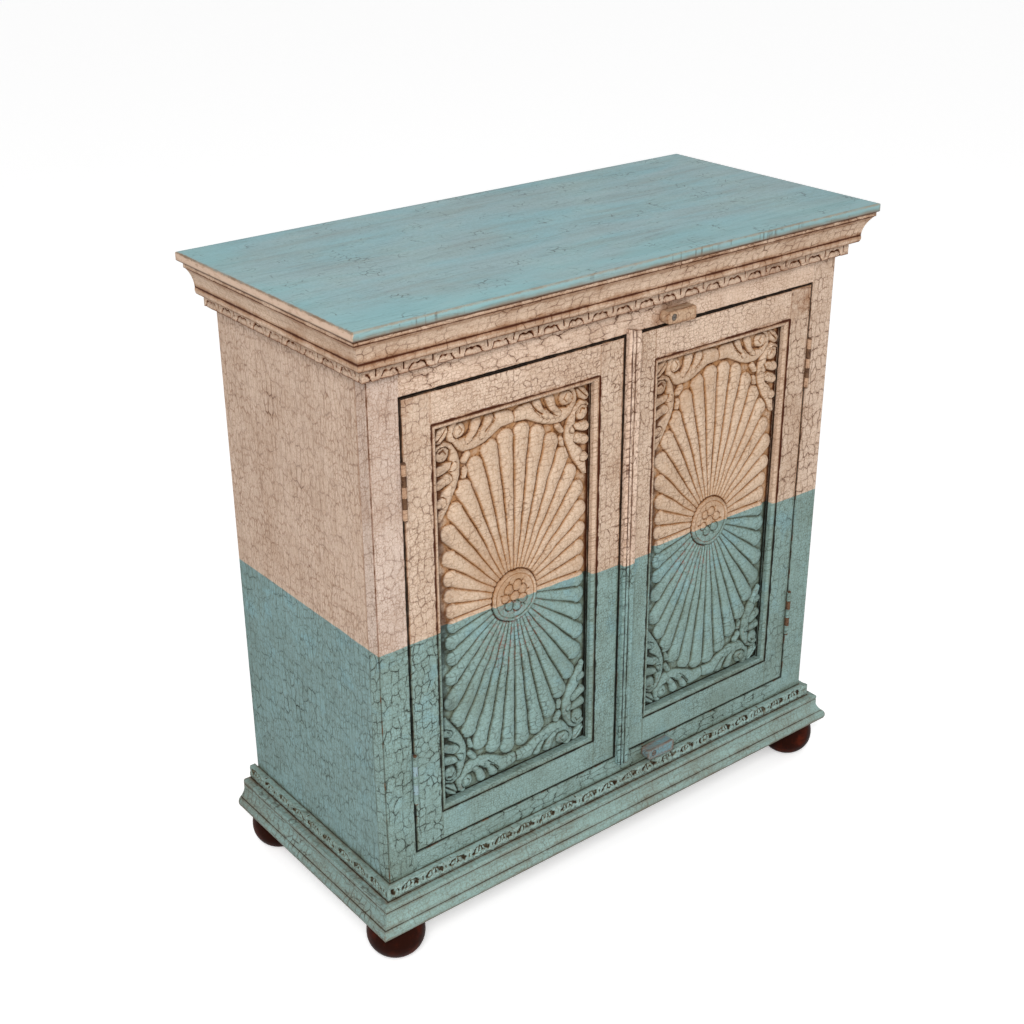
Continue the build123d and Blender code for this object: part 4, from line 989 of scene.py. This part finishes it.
def band_pattern(along, up, seed):
    """Crescents sunk over rounded pads, small chips left standing in each, and a ragged lower edge."""
    along = along + 1.6 * sway(along, up, 60, seed) + 1.2 * sway(along, up, 12, seed + 7)
    up = up + 1.0 * sway(along, up, 10, seed + 8)
    place = in_repeat(along, BAND_PERIOD)
    beside = np.abs((along % (BAND_PERIOD / 2)) - BAND_PERIOD / 4)
    from_middle = ((BAND_PERIOD / 4 - beside) / 9.6) ** 2 + (np.maximum(up - 5.5, 0) / 13) ** 2
    pad = -1.5 + 1.5 * np.sqrt(np.clip(1 - from_middle, 0, 1))
    bowl = from_line(place, up, [(-12.5, 9.5), (-7, 12.0), (0, 12.8), (7, 12.4), (12.5, 10.0)])
    width = np.maximum(6.6 + 1.8 * sway(along, up, 11, seed + 9) - 0.12 * np.abs(place), 2.2)
    height = pad - 3.6 * np.clip(2.0 - 2.0 * bowl / width, 0, 1)
    for centre, level, lean in ((-7.4, 9.8, 0.5), (-1.6, 11.4, 0.3), (5.0, 11.0, -0.3)):
        chip = np.hypot((place - centre - lean * (up - level)) / 1.6, (up - level) / 3.6)
        height = np.maximum(height, np.where(chip < 1, -0.6 - 2.6 * chip ** 2, -9.0))
    between = BAND_PERIOD / 2 - np.abs(place)
    height = height - 2.6 * groove(np.hypot(np.maximum(np.abs(up - 11.0) - 1.6, 0), between), 2.0)
    scallop = groove(up, 1.5 + 1.4 * sway(along, up, 7, seed + 13))
    return np.clip(height - 2.2 * scallop + 0.4 * sway(along, up, 7, seed + 11) - 0.3, -5.0, 0.2)


def carved_run(name, side, low, tall, reach, pattern, start, material, node, finish_slot, fill, seed):
    """Carving along one side; the pattern counts from start, and fill is its depth on the two ends."""
    limit = BODY_HALF + reach
    if side == "front":
        first, last = -limit, limit
    else:
        first, last = FACE_Y - reach, BACK_Y
    columns = round((last - first) / RUN_STEP)
    rows = round(tall / RUN_ROW)

    def surface(u, v):
        along = first + u * (last - first)
        lift = pattern(along - start, v * tall, seed) * (1.0 if side == "front" else fill)
        corner = limit - np.abs(along) if side == "front" else along - first
        lift = lift * rise(corner, 3.0, 9.0)
        return lift + 0.12 * sway(along, v * tall, 8, seed + 1)

    def place(u, v, lift, front):
        along = first + u * (last - first)
        out = np.where(front, reach + np.minimum(lift, 0.25), 0.0)
        z = low + v * tall
        if side == "front":
            x = np.clip(along, -(BODY_HALF + out), BODY_HALF + out)
            return x, FACE_Y - out, z
        y = np.maximum(along, FACE_Y - out)
        way = -1 if side == "left" else 1
        return way * (BODY_HALF + out), y, z

    return relief(
        name, columns, rows, surface, place, material, "carcass", [node], finish_slot, spread=3,
        depth=2.0)


# ---------------------------------------------------------------- finishes on the frame nodes

def corners(*names):
    lows, highs = zip(*(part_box(name) for name in names))
    low = tuple(min(item[i] for item in lows) for i in range(3))
    high = tuple(max(item[i] for item in highs) for i in range(3))
    return low, high


UP, ACROSS, OUT = (0, 0, 1), (1, 0, 0), (0, 1, 0)
BASE_LOW, BAND_LOW, BAND_TOP = 0.062, 0.106, 0.126
FRIEZE_LOW, CORNICE_LOW, TOP_LOW = 0.871, 0.8885, 0.9355
BODY_SIDE, BODY_FRONT, BODY_BACK = BODY_HALF * MM, FACE_Y * MM, BACK_Y * MM
FIELD_LOW, FIELD_TOP, FIELD_BACK = 0.206, 0.7865, -0.1505
OPENING_SIDE, OPENING_LOW, OPENING_TOP = 0.370, 0.157, 0.8355
opening_box = ((-OPENING_SIDE, BODY_FRONT, OPENING_LOW), (OPENING_SIDE, -0.150, OPENING_TOP))
left_box = corners("left_hinge_stile", "left_meeting_stile")
right_box = corners("right_hinge_stile", "right_meeting_stile")
left_field = ((-0.322, BODY_FRONT, FIELD_LOW), (-0.0455, FIELD_BACK, FIELD_TOP))
right_field = ((0.057, BODY_FRONT, FIELD_LOW), (0.325, FIELD_BACK, FIELD_TOP))

dress("top_board", top_material())

# dark lines in the cornice's and plinth's quirks, with dirt and painted shade in their coves and creases
cornice_lines = [
    (UP, 0.8895, 0.0021, 1.0), (UP, 0.9003, 0.0026, 1.0), (UP, 0.9290, 0.0023, 1.0),
    (UP, TOP_LOW - 0.0003, 0.0026, 1.0)]
cornice_creases = [
    (UP, 0.8895, 0.006, 0.6), (UP, 0.9003, 0.009, 0.65), (UP, 0.9270, 0.009, 0.55),
    (UP, TOP_LOW - 0.0003, 0.004, 0.5)]
plinth_lines = [(UP, 0.0990, 0.0013, 1.0), (UP, 0.0622, 0.0012, 0.9), (UP, 0.0775, 0.0009, 0.9)]
plinth_creases = [(UP, 0.0990, 0.005, 0.4), (UP, 0.0635, 0.006, 0.55), (UP, 0.0775, 0.004, 0.3)]
for side in ("front", "left", "right"):
    along = (120, 7, 7) if side == "front" else (7, 120, 7)
    wall = {"front": (OUT, -0.183), "left": (ACROSS, -0.427), "right": (ACROSS, 0.427)}[side]
    look = dict(
        face=f"{side} run", cell=(15, 12), fine=(7, 4), grain=along, fine_cracks=0.3, checks_share=0.4,
        wander=0.45)
    painted(
        f"cornice_{side}", f"Cornice cream {side}", paint=shade(216, 192, 171),
        boxes=[((-0.454, -0.210, CORNICE_LOW), (0.454, BODY_BACK, TOP_LOW))], wear=0.0015,
        creases=cornice_creases, lines=cornice_lines, cracks=0.7 if side == "front" else 0.3, **look)
    painted(
        f"plinth_moulding_{side}", f"Plinth teal {side}",
        paint=shade(149, 179, 176) if side == "front" else shade(138, 167, 165),
        boxes=[((-0.4505, -0.2065, BASE_LOW), (0.4505, BODY_BACK, BAND_LOW))], wear=0.0016,
        creases=plinth_creases + [(*wall, 0.006, 0.6)], lines=plinth_lines + [(*wall, 0.0018, 1.0)],
        crack_colour=shade(46, 32, 18), dirt_colour=shade(106, 80, 50),
        cracks=0.3 if side == "front" else 0.6, **dict(look, cell=(11, 10)))

# the sides darken over the band and under the frieze: dark lines at the joints, with dirt and painted
# shade
side_paint = dict(
    paint=shade(212, 190, 173), line=PAINT_LINE, teal=shade(134, 165, 167), face="side", cell=(12, 25),
    fine=(6.0, 14), grain=(3.6, 3.6, 70), cracks=1.0, cream_share=0.8, fine_cracks=0.5, checks_share=0.6,
    patch=0.54, soil=0.14, wander=0.7, wear=0.0014,
    creases=[(UP, BAND_TOP, 0.010, 0.7), (UP, FRIEZE_LOW, 0.010, 0.5), (OUT, FIELD_BACK, 0.006, 0.4)],
    lines=[(OUT, FIELD_BACK, 0.0010, 0.5), (UP, BAND_TOP, 0.0022, 0.9), (UP, FRIEZE_LOW, 0.0016, 0.8)])
painted(
    "side_board_left", "Side boards paint", bare=(ACROSS, corners("side_board_left")[1][0]), **side_paint)
painted(
    "side_board_right", "Side boards paint right", bare=((-1, 0, 0), -corners("side_board_right")[0][0]),
    shift=(0.31, 0.7, 0.2), **side_paint)

body_front = ((-BODY_SIDE, BODY_FRONT, 0.0), (BODY_SIDE, BODY_BACK, 1.2))
# the door opening's edge and jambs are painted near black as the gaps' shadow; creases bring dirt and
# painted shade under the frieze, over the band and at the opening
opening_rim = (opening_box, "gap", 0.0013, 1.0, 0.88)
snug_rim = (opening_box, "gap", 0.0005, 1.0, 0.88)
for side, way in (("left", -1), ("right", 1)):
    painted(
        f"face_stile_{side}", f"{side.title()} stile paint",
        paint=shade(216, 198, 186) if side == "left" else CREAM, line=PAINT_LINE,
        face="front left" if side == "left" else "front",
        rims=[opening_rim if side == "left" else snug_rim, (body_front, "line", 0.0011, 0.45, 0.0)],
        wear=0.0016, near_dirt=0.5, cell=(12, 18), fine=(4.5, 6), grain=(4, 4, 90),
        cracks=0.8 if side == "left" else 0.3, cream_share=0.5 if side == "left" else 2.6, patch=0.3,
        shift=(0.2 * way, 0.1, 0.4), creases=[(UP, BAND_TOP, 0.012, 0.6), (UP, FRIEZE_LOW, 0.008, 0.45)],
        lines=[(UP, BAND_TOP, 0.0022, 0.9), (UP, FRIEZE_LOW, 0.0014, 0.8)])
rail_look = dict(wear=0.0016, cell=(25, 11), fine=(7, 4.5), grain=(90, 4, 4), cracks=1.0)
painted(
    "face_rail_upper", "Upper rail cream", rims=[opening_rim], fade=(ACROSS, 0.0, 0.16, 0.1),
    paint=shade(226, 203, 184), creases=[(UP, FRIEZE_LOW, 0.007, 0.6), (UP, OPENING_TOP, 0.004, 0.4)],
    lines=[(UP, FRIEZE_LOW, 0.0014, 0.8)], spots=[((0.072, BODY_FRONT, 0.846), 0.05, 0.7)], **rail_look)
painted(
    "face_rail_lower", "Lower rail teal", rims=[snug_rim], paint=TEAL,
    creases=[(UP, BAND_TOP, 0.007, 0.7), (UP, OPENING_LOW, 0.004, 0.4)],
    lines=[(UP, BAND_TOP, 0.0022, 0.95)], crack_colour=TEAL_CRACK, dirt_colour=TEAL_GRIME,
    spots=[((0.067, BODY_FRONT, 0.145), 0.05, 0.7)], **rail_look)

for door, outer, field, shift in (
        ("left", left_box, left_field, (0.05, 0.02, 0.3)),
        ("right", right_box, right_field, (0.45, 0.1, 0.6))):
    outer = ((outer[0][0], BODY_FRONT, outer[0][2]), outer[1])
    # outer "gap" rims paint the door gaps' shadow near black; the field "line" rims and creases paint
    # shadow and dirt where the frame meets the carved panel
    ring = dict(
        line=PAINT_LINE, rims=[(outer, "gap", 0.0012, 1.0, 0.88), (field, "line", 0.0030, 1.0, 0.0)],
        wear=0.0020, wear_share=0.3, near_dirt=0.9, shift=shift,
        face="front left" if door == "left" else "front")
    spots = {
        "left": [((-0.366, BODY_FRONT, 0.832), 0.05, 0.75)],
        "right": [((0.366, BODY_FRONT, 0.815), 0.06, 0.6)]}[door]
    sides = [(ACROSS, field[0][0], 0.006, 0.4), (ACROSS, field[1][0], 0.006, 0.4)]
    upright = dict(ring, creases=sides, paint=shade(220, 199, 180), fine=(4, 5), grain=(4, 4, 70))
    hung = dict(
        upright, rims=[(outer, "gap", 0.0007 if door == "left" else 0.0004, 1.0, 0.88), ring["rims"][1]])
    painted(
        f"{door}_hinge_stile", f"{door.title()} hinge stile paint", spots=spots,
        cell=(11, 13) if door == "left" else (11, 15), cracks=0.85 if door == "left" else 0.5,
        cream_share=0.7 if door == "left" else 1.5, patch=0.3, **hung)
    painted(
        f"{door}_meeting_stile", f"{door.title()} meeting stile paint", cell=(9, 12), cracks=0.35,
        cream_share=2.0, fine_cracks=0.6, **upright)
    across = dict(
        ring, creases=[(UP, FIELD_TOP, 0.007, 0.8), (UP, FIELD_LOW, 0.005, 0.6)], cell=(9.5, 7.5),
        fine=(5, 4), grain=(70, 4, 4), cracks=0.35, cream_share=1.7)
    painted(
        f"{door}_door_rail_upper", f"{door.title()} door top rail cream", paint=shade(227, 205, 186),
        **across)
    across["rims"] = [(outer, "gap", 0.0006, 1.0, 0.88), (field, "line", 0.0018, 1.0, 0.0)]
    painted(f"{door}_door_rail_lower", f"{door.title()} door bottom rail teal", **across)
    # the beads' inner "gap" rim is painted shadow in near black along the carving's edge
    inner = (
        (field[0][0] + 0.0065, field[0][1] + 0.012, field[0][2] - 0.05),
        (field[1][0] - 0.0065, 0, field[1][2] - 0.0065))
    painted(
        f"{door}_panel_beads", f"{door.title()} panel beads paint", paint=shade(214, 190, 169),
        teal=shade(139, 166, 162), line=PAINT_LINE,
        rims=[(inner, "gap", 0.0015, 0.9, 0.0), (field, "line", 0.0008, 0.8, 0.0)], wear=0.0018,
        wear_share=0.3, near_dirt=0.8, cracks=0.5, cell=(9, 9))

strip_low, strip_high = corners("cover_strip")
# dark lines along the quirk and near the left arris, with dirt and painted shade there and where the
# strip meets the door
painted(
    "cover_strip", "Cover strip paint", paint=shade(240, 217, 199), teal=shade(144, 178, 178),
    line=PAINT_LINE, boxes=[(strip_low, strip_high)],
    spots=[((strip_low[0] + 0.0105, strip_low[1] + 0.004, strip_high[2]), 0.016, 0.9)], wear=0.0014,
    wear_share=0.7, creases=[(ACROSS, strip_low[0] + 0.0093, 0.004, 0.4), (OUT, BODY_FRONT, 0.002, 0.6)],
    near_dirt=0.25,
    lines=[(ACROSS, strip_low[0] + 0.0093, 0.0016, 0.95), (ACROSS, strip_low[0] + 0.0030, 0.0017, 0.95)],
    cell=(7, 12), grain=(4, 4, 90), checks_share=0.5)

for which, paint, dark in (
        ("top", shade(205, 178, 152), CREAM_CRACK), ("bottom", shade(112, 164, 178), TEAL_CRACK)):
    low, high = corners(f"{which}_turn_button")
    painted(
        f"{which}_turn_button", f"{which.title()} turn-button paint", paint=paint, boxes=[(low, high)],
        wear=0.003, wear_share=0.6, cell=(9, 9), grain=(60, 5, 5), crack_colour=dark, dirt_colour=GRIME,
        near_dirt=0.5, cracks=0.5)

across_wood = wood_material("Boards across", (500, 30, 30))
upright_wood = wood_material("Boards upright", (30, 30, 500), light=INNER_BROWN)
inner_wood = wood_material("Inner boards", (500, 30, 30), light=shade(165, 126, 88))
block_wood = wood_material("Blocks and pegs", (20, 60, 20), light=shade(158, 120, 84))
for node, material in (
        ("back_panel", upright_wood), ("bottom_board", inner_wood), ("shelf", inner_wood),
        ("back_rail_upper", across_wood), ("back_rail_lower", across_wood), ("shelf_cleats", block_wood),
        ("top_glue_blocks", block_wood), ("foot_blocks", block_wood), ("door_stops", block_wood)):
    dress(node, material)
peg_paint = paint_material(
    "Painted peg ends", line=PAINT_LINE, cell=(4, 4), fine=(3, 3), near_dirt=0.0,
    paint=shade(198, 166, 140), teal=shade(118, 142, 136))
dress("left_door_pegs", peg_paint)
dress("right_door_pegs", peg_paint)

foot_polish = foot_material()
for node in ("foot_front_left", "foot_front_right", "foot_back_left", "foot_back_right"):
    dress(node, foot_polish)

iron = metal_material("Browned iron", shade(104, 74, 50), shade(66, 40, 24), roughness=0.6, metallic=0.3)
steel = metal_material("Dull steel", shade(120, 112, 104), shade(84, 60, 44), roughness=0.4, metallic=0.9)
dress("left_hinge_door_leaves", hinge_material())
for node in ("right_hinge_door_leaves", "hinge_pins"):
    dress(node, iron)
for node in (
        "hinge_frame_screws", "left_hinge_door_screws", "right_hinge_door_screws", "button_screws",
        "button_washers", "foot_bolts"):
    dress(node, steel)
painted(
    "hinge_frame_leaves", "Painted hinge leaves", line=PAINT_LINE, boxes=[corners("hinge_frame_leaves")],
    paint=shade(196, 166, 142), cell=(5, 7), fine=(3, 3), cracks=0.7, wear=0.0008)


# ---------------------------------------------------------------- carved pieces

# carved hollows darken with dirt and painted shade in the dirt colour, the deepest with painted shade in
# the crack colour
carving_look = dict(
    line=PAINT_LINE, cavity=0.88, cell=(9.5, 8.0), fine=(5.5, 4.5), grain=(5, 5, 40), cracks=0.5,
    fine_cracks=0.28, checks_share=0.2, cavity_worn=0.3, paint=shade(217, 194, 172),
    dirt_colour=shade(150, 98, 42))
LEFT_PANEL, LEFT_HALF = -183.75, 131.75
RIGHT_PANEL, RIGHT_HALF = 191.0, 127.5


def panel_border(middle, half_width):
    """Painted shadow: dark lines in the hollows along a panel's four edges, widest on the left."""
    return [
        (ACROSS, (middle - half_width) * MM, 0.0300, 1.0),
        (ACROSS, (middle + half_width) * MM, 0.0080, 1.0), (UP, 0.2125, 0.0026, 1.0),
        (UP, 0.7800, 0.0110, 1.0)]


left_carving = paint_material(
    "Left carving paint", rust=((-0.18375, -0.162, 0.445), 0.085),
    spots=[((-0.19, -0.162, 0.515), 0.10, 0.42)], lines=panel_border(LEFT_PANEL, LEFT_HALF),
    **carving_look)
right_carving = paint_material(
    "Right carving paint", rust=((0.165, -0.162, 0.440), 0.07),
    spots=[((0.185, -0.162, 0.515), 0.09, 0.3)], shift=(0.3, 0.2, 0.5),
    lines=panel_border(RIGHT_PANEL, RIGHT_HALF), **carving_look)
carved_panel(
    "left_sunburst", LEFT_PANEL, LEFT_HALF, "left_door", "left_carved_panel", left_carving, lobes=7,
    twist=0.0, seed=11)
carved_panel(
    "right_sunburst", RIGHT_PANEL, RIGHT_HALF, "right_door", "right_carved_panel", right_carving, lobes=6,
    twist=0.9, seed=29)

for side in ("front", "left", "right"):
    along = (60, 7, 7) if side == "front" else (7, 60, 7)
    wall = {"front": (OUT, BODY_FRONT), "left": (ACROSS, -BODY_SIDE), "right": (ACROSS, BODY_SIDE)}[side]
    look = dict(
        face="front" if side == "front" else "side", cavity=1.0, deep=(0.68, 0.92), cell=(12, 9),
        fine=(5, 4), grain=along, cracks=0.45, fine_cracks=0.3, checks_share=0.3, cavity_worn=0.3)
    # hollows in the carved runs darken with dirt and painted shade, the deepest with painted shade; lines
    # and creases darken the joints above and below
    frieze_paint = paint_material(
        f"Frieze cream {side}", paint=shade(216, 192, 171), dirt_colour=shade(128, 76, 40),
        creases=[(UP, CORNICE_LOW, 0.004, 0.5), (UP, 0.8712, 0.004, 0.5)],
        lines=[(UP, 0.8880, 0.0010, 0.9), (UP, 0.8714, 0.0012, 0.9)], **look)
    band_paint = paint_material(
        f"Band teal {side}", paint=shade(158, 189, 187) if side == "front" else shade(143, 172, 169),
        crack_colour=shade(46, 32, 18), dirt_colour=shade(98, 86, 60),
        creases=[(UP, 0.1062, 0.004, 0.5), (*wall, 0.005, 0.6)],
        lines=[(UP, 0.1066, 0.0014, 0.95), (*wall, 0.0020, 1.0)], **look)
    start = -388.0 if side == "front" else -150.0
    carved_run(
        f"frieze_carving_{side}", side, FRIEZE_LOW / MM, FRIEZE_TALL, FRIEZE_REACH, frieze_pattern, start,
        frieze_paint, f"frieze_{side}", "cream_paint", fill=0.6, seed=41)
    carved_run(
        f"band_carving_{side}", side, BAND_LOW / MM, BAND_TALL, BAND_REACH, band_pattern, start + 1.0,
        band_paint, f"base_band_{side}", "teal_paint", fill=0.85, seed=57)


# ---------------------------------------------------------------- floor, light and camera

def lit_floor():
    material = bpy.data.materials.new("Studio white")
    material.use_nodes = True
    tree = material.node_tree
    surface = tree.nodes["Principled BSDF"]
    surface.inputs["Base Color"].default_value = (0.95, 0.95, 0.95, 1.0)
    surface.inputs["Roughness"].default_value = 0.9
    surface.inputs["Specular IOR Level"].default_value = 0.1
    seen = tree.nodes.new("ShaderNodeLightPath").outputs["Is Camera Ray"]
    surface.inputs["Emission Color"].default_value = (1.0, 1.0, 1.0, 1.0)
    join(tree, times(tree, seen, 0.42), surface.inputs["Emission Strength"])
    return material


floor_mesh = bpy.data.meshes.new("floor")
sheet = bmesh.new()
bmesh.ops.create_grid(sheet, x_segments=1, y_segments=1, size=12.0)
sheet.to_mesh(floor_mesh)
sheet.free()
floor_mesh.materials.append(lit_floor())
floor = bpy.data.objects.new("floor", floor_mesh)
bpy.context.scene.collection.objects.link(floor)

world = bpy.data.worlds.new("Studio")
bpy.context.scene.world = world
world.use_nodes = True
room = world.node_tree
background = room.nodes["Background"]
path = room.nodes.new("ShaderNodeLightPath").outputs
seen = larger(
    room, path["Is Camera Ray"], larger(room, path["Is Glossy Ray"], path["Is Transmission Ray"]))
join(room, blend(room, seen, (0.56, 0.56, 0.56, 1.0), (1.0, 1.0, 1.0, 1.0)), background.inputs["Color"])
background.inputs["Strength"].default_value = 1.0


def soft_light(name, place, aim, size, power):
    lamp = bpy.data.lights.new(name, "AREA")
    lamp.shape = "DISK"
    lamp.size = size
    lamp.energy = power
    holder = bpy.data.objects.new(name, lamp)
    holder.location = place
    holder.rotation_euler = (Vector(aim) - Vector(place)).to_track_quat("-Z", "Y").to_euler()
    bpy.context.scene.collection.objects.link(holder)


soft_light("Key", (-2.1, -2.4, 2.7), (0, 0, 0.5), size=1.4, power=92)
soft_light("Fill", (1.8, -2.8, 1.6), (0, 0, 0.5), size=2.0, power=8)

YAW, PITCH, ROLL = 0.6664, 0.4445, 0.0063
forward = Vector((math.sin(YAW) * math.cos(PITCH), math.cos(YAW) * math.cos(PITCH), -math.sin(PITCH)))
right = forward.cross(Vector((0, 0, 1))).normalized()
above = right.cross(forward)
turned = Matrix.Rotation(ROLL, 3, forward)
right, above = turned @ right, turned @ above
camera_data = bpy.data.cameras.new("Camera")
camera_data.sensor_width = 36.0
camera_data.lens = 54.38
camera_data.shift_x = 0.0006
camera_data.shift_y = -0.0016
camera = bpy.data.objects.new("Camera", camera_data)
camera_turn = Matrix((right, above, -forward)).transposed().to_4x4()
camera.matrix_world = Matrix.Translation((-1.3411, -1.6263, 1.5153)) @ camera_turn
bpy.context.scene.collection.objects.link(camera)
bpy.context.scene.camera = camera
bpy.context.scene.view_settings.view_transform = "Standard"
